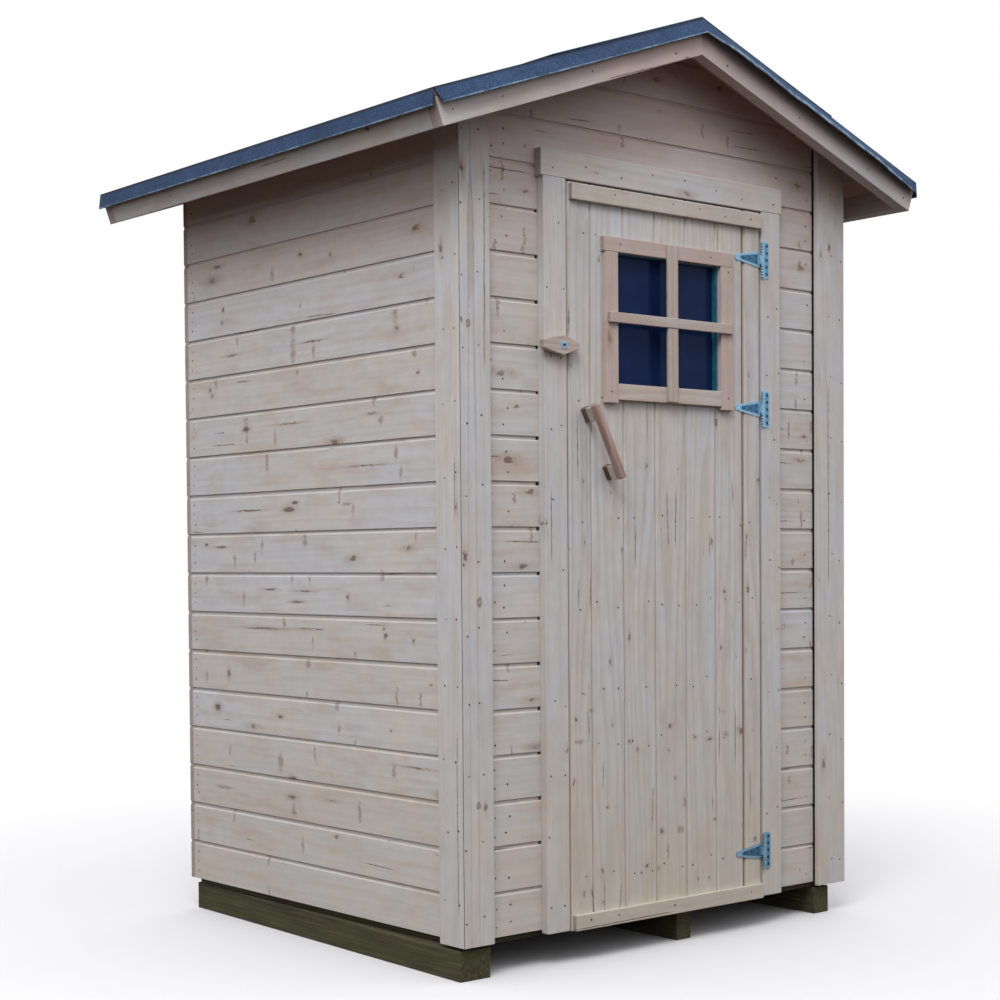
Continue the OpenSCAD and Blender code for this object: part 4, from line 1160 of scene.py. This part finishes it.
class OUTHOUSE_OT_roof_felt(bpy.types.Operator):
    """Build the two folded sheets of mineral felt and the strips that lap over them"""
    bl_idname = "outhouse.roof_felt"
    bl_label = "Roof felt"

    def execute(self, context):
        s = settings()[0]
        slope_l, edge_y = slope_length(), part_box("roof_deck_right")[1].y + s.felt
        for side, turn in (("right", 1), ("left", -1)):
            ridge, lean, rise = roof(turn)
            ridge += 0.05 * MM
            lift = DECK + s.felt
            first = -lift * rise.x / lean.x
            rng = random.Random(160 + turn)
            phases = [rng.uniform(0, 6.28) for _ in range(6)]

            def on_roof(u, y, w):
                """A point u down the slope and w above its boards' underside."""
                return Vector((0, y, ridge)) + lean * u + rise * w

            self.sheet(f"roof_felt_{side}", turn, first, slope_l, edge_y, lift, phases, on_roof)
            # The strip that laps over the lower sheet half way down the slope
            bm = bmesh.new()
            fold = bm.verts.layers.float.new("fold")
            far, thick, lapped = 0.53, 3 * MM, 0.6 * MM
            middle = (first + far) / 2
            cube(bm, (far - first, 2 * edge_y - 4 * MM, thick), (middle, 0, lift + thick / 2 - lapped))
            long = [e for e in bm.edges if abs(e.verts[0].co.y - e.verts[1].co.y) > 0.1]
            bmesh.ops.subdivide_edges(bm, edges=long, cuts=40)
            for v in bm.verts:
                u, y, w = v.co
                if u > middle:  # the lower edge wanders and stands off a little
                    u += 2.5 * MM * math.sin(y * 17 + phases[0]) + 1.5 * MM * math.sin(y * 43)
                    w += 2.5 * MM
                v.co = on_roof(u, y, w)
                v[fold] = -1.0
            bmesh.ops.recalc_face_normals(bm, faces=bm.faces[:])
            finish_piece(f"roof_felt_{side}_lap", bm, HULL, felt(), "roof_felt")
        return {"FINISHED"}

    @staticmethod
    def sheet(node, turn, first, slope_l, edge_y, lift, phases, on_roof):
        """One sheet, folded down at the eave and at both gables. fold holds the distance from the fold,
        raised on the lifted flap to paint light on it.
        """
        s = settings()[0]
        notch, sway = 5 * MM, 1.5 * MM
        cols, rows, folds = 48, 64, 4
        bm = bmesh.new()
        fold = bm.verts.layers.float.new("fold")
        made = bmesh.ops.create_grid(bm, x_segments=cols + folds, y_segments=rows + 2 * folds, size=0.5)
        corner = []
        for v in made["verts"]:
            i = round((v.co.x + 0.5) * (cols + folds))
            j = round((v.co.y + 0.5) * (rows + 2 * folds)) - folds
            eave, gable = max(0, i - cols) / folds, max(0, -j, j - rows) / folds
            u = first + min(i, cols) * (slope_l - first) / cols
            y = min(max(j, 0), rows) * 2 * edge_y / rows - edge_y
            wave = sum(math.sin(f * u + p) for f, p in zip((23, 41, 9), phases)) / 3
            swell = sum(math.sin(f * y + p) for f, p in zip((19, 37, 7), phases[3:])) / 3
            # The front flap of the right slope has lifted and stands out
            near_ends = min(1.0, max(0.0, u / 0.12), (slope_l - min(u, slope_l)) / 0.25)
            lifted = near_ends if turn > 0 and j < 0 else 0.0
            lean = math.radians(24) + 0.06 * wave + lifted * math.radians(12)
            tip = math.radians(6) + 0.04 * swell
            hang = gable * (s.flap - sway + sway * wave + lifted * 3 * MM)
            fall = eave * (s.flap - sway + sway * swell)
            v[fold] = max(hang, fall) if gable or eave else -min(slope_l - u, edge_y - abs(y))
            # Painted light: on the lifted flap the fold distance is raised, so its lower part takes the pale
            # tone
            v[fold] += 20 * MM * lifted * gable
            u -= notch * gable * u / slope_l
            y += math.copysign(hang * math.sin(lean), y)
            v.co = on_roof(u, y, lift - hang * math.cos(lean))
            v.co += Vector((fall * math.sin(tip) * turn, 0, -fall * math.cos(tip)))
            if eave and gable:
                corner.append(v)
        bmesh.ops.delete(bm, geom=corner, context="VERTS")
        geom = bm.verts[:] + bm.edges[:] + bm.faces[:]
        bmesh.ops.bisect_plane(bm, geom=geom, dist=1e-7, plane_co=(0, 0, 0), plane_no=(-turn, 0, 0),
                               clear_outer=True)
        bmesh.ops.recalc_face_normals(bm, faces=bm.faces[:])
        if sum(f.normal.z for f in bm.faces) < 0:
            bmesh.ops.reverse_faces(bm, faces=bm.faces[:])
        bmesh.ops.solidify(bm, geom=bm.faces[:], thickness=s.felt - 0.4 * MM)
        finish_piece(node + "_sheet", bm, HULL, felt(), "roof_felt", node, smooth=35)


class OUTHOUSE_OT_base(bpy.types.Operator):
    """Build the bearers, the floor frame and the floor"""
    bl_idname = "outhouse.base"
    bl_label = "Bearers and floor"

    def execute(self, context):
        wood = finish("treated_sawn_pine", treated, settings()[1].treated)
        look = dict(look=wood, slot="treated_wood")
        # The left bearer lies askew under the wall
        low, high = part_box("bearer_left")
        corner = Vector((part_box("trim_front_left")[0].x, low.y, low.z))
        boards = Boards(170)
        boards.block(corner, (corner.x + 93 * MM, corner.y + 1287 * MM, high.z), Y, Z, arris=2.5 * MM)
        askew = Matrix.Rotation(math.radians(-1.75), 3, "Z")
        bmesh.ops.rotate(boards.mesh, cent=corner, matrix=askew, verts=boards.mesh.verts[:])
        boards.piece("bearer_left_beam", HULL, wood, "treated_wood", "bearer_left")
        for seed, node in ((171, "bearer_centre"), (172, "bearer_right")):
            beams(node + "_beam", node, seed, Y, Z, arris=2.5 * MM, **look)
        for name, node, seed, along, out in (("floor_end_beams", "floor_frame_ends", 180, X, -Y),
                                             ("floor_side_beams", "floor_frame_sides", 181, Y, X)):
            boxes = both_ends([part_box(node)], Y if along == X else X, POST)
            beams(name, node, seed, along, out, boxes=boxes, **look)
        low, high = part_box("floor_deck")
        count = 12
        width = (high.y - low.y) / count
        rows = [low.y + i * width for i in range(count)]
        beams("floor_deck_boards", "floor_deck", 182, X, Z, "inner_wood",
              boxes=[((low.x, y, low.z), (high.x, y + width - 0.6 * MM, high.z)) for y in rows])
        return {"FINISHED"}


class OUTHOUSE_OT_inner_frame(bpy.types.Operator):
    """Build the posts, header and wall plates inside"""
    bl_idname = "outhouse.inner_frame"
    bl_label = "Inner frame"

    def execute(self, context):
        wide = both_ends([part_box("corner_posts")], X, 98 * MM)
        beams("corner_post_beams", "corner_posts", 190, Z, Y, "inner_wood", boxes=both_ends(wide, Y, POST))
        beams("door_post_beams", "door_posts", 191, Z, Y, "inner_wood",
              boxes=both_ends([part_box("door_posts")], X, POST))
        beams("door_header_beam", "door_header", 192, X, Y, "inner_wood")
        beams("wall_plate_beams", "wall_plates", 193, Y, X, "inner_wood",
              boxes=both_ends([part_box("wall_plates")], X, POST), cuts=roof_cuts(0.2 * MM))
        return {"FINISHED"}


class OUTHOUSE_OT_nails(bpy.types.Operator):
    """Drive the nails of the walls, trims, casings and door"""
    bl_idname = "outhouse.nails"
    bl_label = "Nails"

    def execute(self, context):
        s, c, _ = settings()
        self.rng = random.Random(200)
        self.hull, self.door = bmesh.new(), bmesh.new()
        self.walls(s)
        self.trims()
        self.leaf(s)
        # The few nails of the window's slats, and those of the barge boards
        low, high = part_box("window_slats")
        for x, z in ((low.x + 0.055, high.z - 0.017), (high.x - 0.09, high.z - 0.017),
                     (low.x + 0.025, low.z + 0.03), (high.x - 0.02, high.z - 0.05),
                     (high.x - 0.02, low.z + 0.03)):
            self.nail(self.door, (x, low.y, z), -Y, 2)
        for turn in (-1, 1):
            ridge, lean, rise = roof(turn)
            for end in (-1, 1):
                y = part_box("roof_deck_left")[1].y * end
                for u in (0.12, 0.42, 0.72, 0.88):
                    self.nail(self.hull, Vector((0, y, ridge)) + lean * u - rise * 42 * MM, Y * end, 6)
        steel = finish("dull_nail_steel", metal, c.nail, 0.5, 0.6)
        finish_piece("building_nails", self.hull, HULL, steel, "zinc", smooth=30)
        finish_piece("door_nails", self.door, DOOR, steel, "zinc", smooth=30)
        return {"FINISHED"}

    def nail(self, bm, point, out, slack=4, chance=1.0):
        """A nail head within slack mm of a point, if a draw under 1 lets it be there."""
        if chance < 1.0 and self.rng.random() >= chance:
            return
        along = Z if abs(out.z) < 0.5 else X
        drift = [self.rng.uniform(-slack, slack) * MM for _ in range(2)]
        point = Vector(point) + along * drift[0] + out.cross(along) * drift[1]
        radius = settings()[0].nail_radius * self.rng.uniform(0.8, 1.2)
        stud(bm, facing(point, along, out), radius, 0.5 * MM, 8, 0.75)

    def walls(self, s):
        """Nails along the ends of the wall boards."""
        left, right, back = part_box("left_wall"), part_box("right_wall"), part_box("back_wall")
        for row in range(int((left[1].z - left[0].z) / s.board_pitch)):
            for dz in (28 * MM, 55 * MM, 82 * MM):
                z = left[0].z + row * s.board_pitch + dz
                self.nail(self.hull, (left[0].x, left[1].y - 24 * MM, z), -X)
                self.nail(self.hull, (right[1].x, right[1].y - 24 * MM, z), X)
                for x in (back[0].x + 26 * MM, back[1].x - 26 * MM):
                    self.nail(self.hull, (x, back[1].y, z), Y)
        wall_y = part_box("front_wall_left")[0].y
        trim_l, trim_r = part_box("trim_front_left")[1].x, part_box("trim_front_right")[0].x
        case_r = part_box("casing_right")[1].x
        for row in range(18):
            z = left[0].z + row * s.board_pitch
            for x in (trim_l + 16 * MM, trim_l + 62 * MM, case_r + 18 * MM, trim_r - 30 * MM):
                self.nail(self.hull, (x, wall_y, z + 30 * MM), -Y, 9, 0.8)
                self.nail(self.hull, (x, wall_y, z + 75 * MM), -Y, 9, 0.6)

    def trims(self):
        """Nails of the corner trims and the casings."""
        first, step = 0.06, 0.172
        for side, turn in (("left", -1), ("right", 1)):
            low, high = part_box("trim_front_" + side)
            low_s, high_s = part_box("trim_side_" + side)
            for i in range(12):
                for inset in (14 * MM, 60 * MM):
                    x, x_out = (high.x - inset, high_s.x) if turn > 0 else (low.x + inset, low_s.x)
                    z = low.z + first + i * step
                    self.nail(self.hull, (x, low.y, z + inset * 0.3), -Y, 8)
                    self.nail(self.hull, (x_out, low_s.y + inset + 8 * MM, z + 0.05), X * turn, 8)
        for node in ("casing_left", "casing_right"):
            low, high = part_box(node)
            for i in range(11):
                for x in (low.x + 17 * MM, high.x - 17 * MM):
                    self.nail(self.hull, (x, low.y, low.z + first + i * step), -Y, 14, 0.75)
        low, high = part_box("casing_head")
        for i in range(8):
            self.nail(self.hull, (low.x + 0.04 + i * 0.115, low.y, (low.z + high.z) / 2), -Y, 14)

    def leaf(self, s):
        """Nails of the door: rows at the ledges and hinges, and a few in the battens."""
        low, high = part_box("door_leaf")
        near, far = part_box("window_slats")
        between = 0.545, 0.69, 0.905, 1.12
        for z in (*hinge_heights(), *between):
            for i in range(-1, 6):
                for dx in (26 * MM, 84 * MM):
                    x = low.x + s.door_first + s.door_pitch * i + dx
                    inside = near.x < x < far.x and near.z < z < far.z
                    if low.x + 8 * MM < x < high.x - 8 * MM and not inside:
                        self.nail(self.door, (x, low.y, z), -Y, 13, 0.82)
        low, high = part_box("door_battens")
        for z in (low.z + 20 * MM, high.z - 20 * MM):
            for i in range(7):
                self.nail(self.door, (low.x + 0.05 + i * 0.1, low.y, z), -Y, 8, 0.5)


class OUTHOUSE_OT_stage(bpy.types.Operator):
    """Set up the floor, the sky, the soft lamp and the camera"""
    bl_idname = "outhouse.stage"
    bl_label = "Stage"

    def execute(self, context):
        scene, stage = context.scene, settings()[2]
        scene.view_settings.view_transform = "Standard"
        self.floor()
        self.sky(scene, stage.sky)
        data = bpy.data.lights.new("soft_front_lamp", "AREA")
        data.energy, data.size = stage.lamp, 3.5
        lamp = bpy.data.objects.new("soft_front_lamp", data)
        lamp.location = (-4.6, -4.1, 7.2)
        lamp.rotation_euler = (Vector((0, 0, 1.1)) - lamp.location).to_track_quat("-Z", "Y").to_euler()
        view = bpy.data.cameras.new("view")
        view.lens, view.sensor_width, view.shift_y = stage.lens, 36.0, 0.1172
        camera = bpy.data.objects.new("view", view)
        yaw, pitch, roll = (math.radians(a) for a in (39.956, -1.794, -0.4305))
        camera.matrix_world = Matrix.Translation((-3.4874, -4.12534, 1.02195))
        for angle, axis in ((-yaw, "Z"), (math.pi / 2 + pitch, "X"), (roll, "Z")):
            camera.matrix_world @= Matrix.Rotation(angle, 4, axis)
        for made in (lamp, camera):
            scene.collection.objects.link(made)
        scene.camera = camera
        return {"FINISHED"}

    @staticmethod
    def floor():
        """Pale floor plate."""
        bm = bmesh.new()
        bmesh.ops.create_grid(bm, x_segments=1, y_segments=1, size=40)
        mesh = bpy.data.meshes.new("floor")
        bm.to_mesh(mesh)
        bm.free()
        mesh.materials.append(finish("pale_floor", pale_floor))
        floor = bpy.data.objects.new("floor", mesh)
        bpy.context.scene.collection.objects.link(floor)

    @staticmethod
    def sky(scene, strength):
        """Overcast sky, three times as bright overhead as at the horizon; the camera sees plain white."""
        world = bpy.data.worlds.new("overcast")
        world.use_nodes = True
        n = Nodes(world.node_tree)
        glow = n.span(n.parts(n.add("TexCoord"))[2], 0.0, 1.0, strength * 0.5, strength * 1.2)
        light = n.add("Background", linear("#FAFAFF"), glow)
        white = n.add("Background", (1, 1, 1, 1), 1.0)
        path = n.add("LightPath")
        show = n.math("MAXIMUM", path, path.node.outputs["Is Transmission Ray"])
        n.add("OutputWorld", n.add("MixShader", show, light, white))
        scene.world = world


OPERATORS = (
    OUTHOUSE_OT_stage, OUTHOUSE_OT_side_walls, OUTHOUSE_OT_front_wall, OUTHOUSE_OT_corner_trims,
    OUTHOUSE_OT_casings, OUTHOUSE_OT_door_leaf, OUTHOUSE_OT_door_rails, OUTHOUSE_OT_window,
    OUTHOUSE_OT_hinges, OUTHOUSE_OT_handle, OUTHOUSE_OT_turn_button, OUTHOUSE_OT_roof_timber,
    OUTHOUSE_OT_roof_felt, OUTHOUSE_OT_base, OUTHOUSE_OT_inner_frame, OUTHOUSE_OT_nails,
)


class OUTHOUSE_PT_build(bpy.types.Panel):
    """Lists the outhouse's operators and settings"""
    bl_idname = "OUTHOUSE_PT_build"
    bl_label = "Timber Outhouse"
    bl_space_type = "VIEW_3D"
    bl_region_type = "UI"
    bl_category = "Outhouse"

    def draw(self, context):
        for operator in OPERATORS:
            self.layout.operator(operator.bl_idname)
        for group in settings():
            box = self.layout.box()
            for name in group.__annotations__:
                box.prop(group, name)


CLASSES = (OuthouseSizes, OuthouseColours, OuthouseStage) + OPERATORS + (OUTHOUSE_PT_build,)


def register():
    for cls in CLASSES:
        bpy.utils.register_class(cls)
    bpy.types.Scene.outhouse_sizes = bpy.props.PointerProperty(type=OuthouseSizes)
    bpy.types.Scene.outhouse_colours = bpy.props.PointerProperty(type=OuthouseColours)
    bpy.types.Scene.outhouse_stage = bpy.props.PointerProperty(type=OuthouseStage)


def unregister():
    del bpy.types.Scene.outhouse_stage, bpy.types.Scene.outhouse_colours, bpy.types.Scene.outhouse_sizes
    for cls in reversed(CLASSES):
        bpy.utils.unregister_class(cls)


def main():
    """Builds every piece in order."""
    register()
    for operator in OPERATORS:
        group, name = operator.bl_idname.split(".")
        getattr(getattr(bpy.ops, group), name)()


if __name__ == "__main__":
    main()
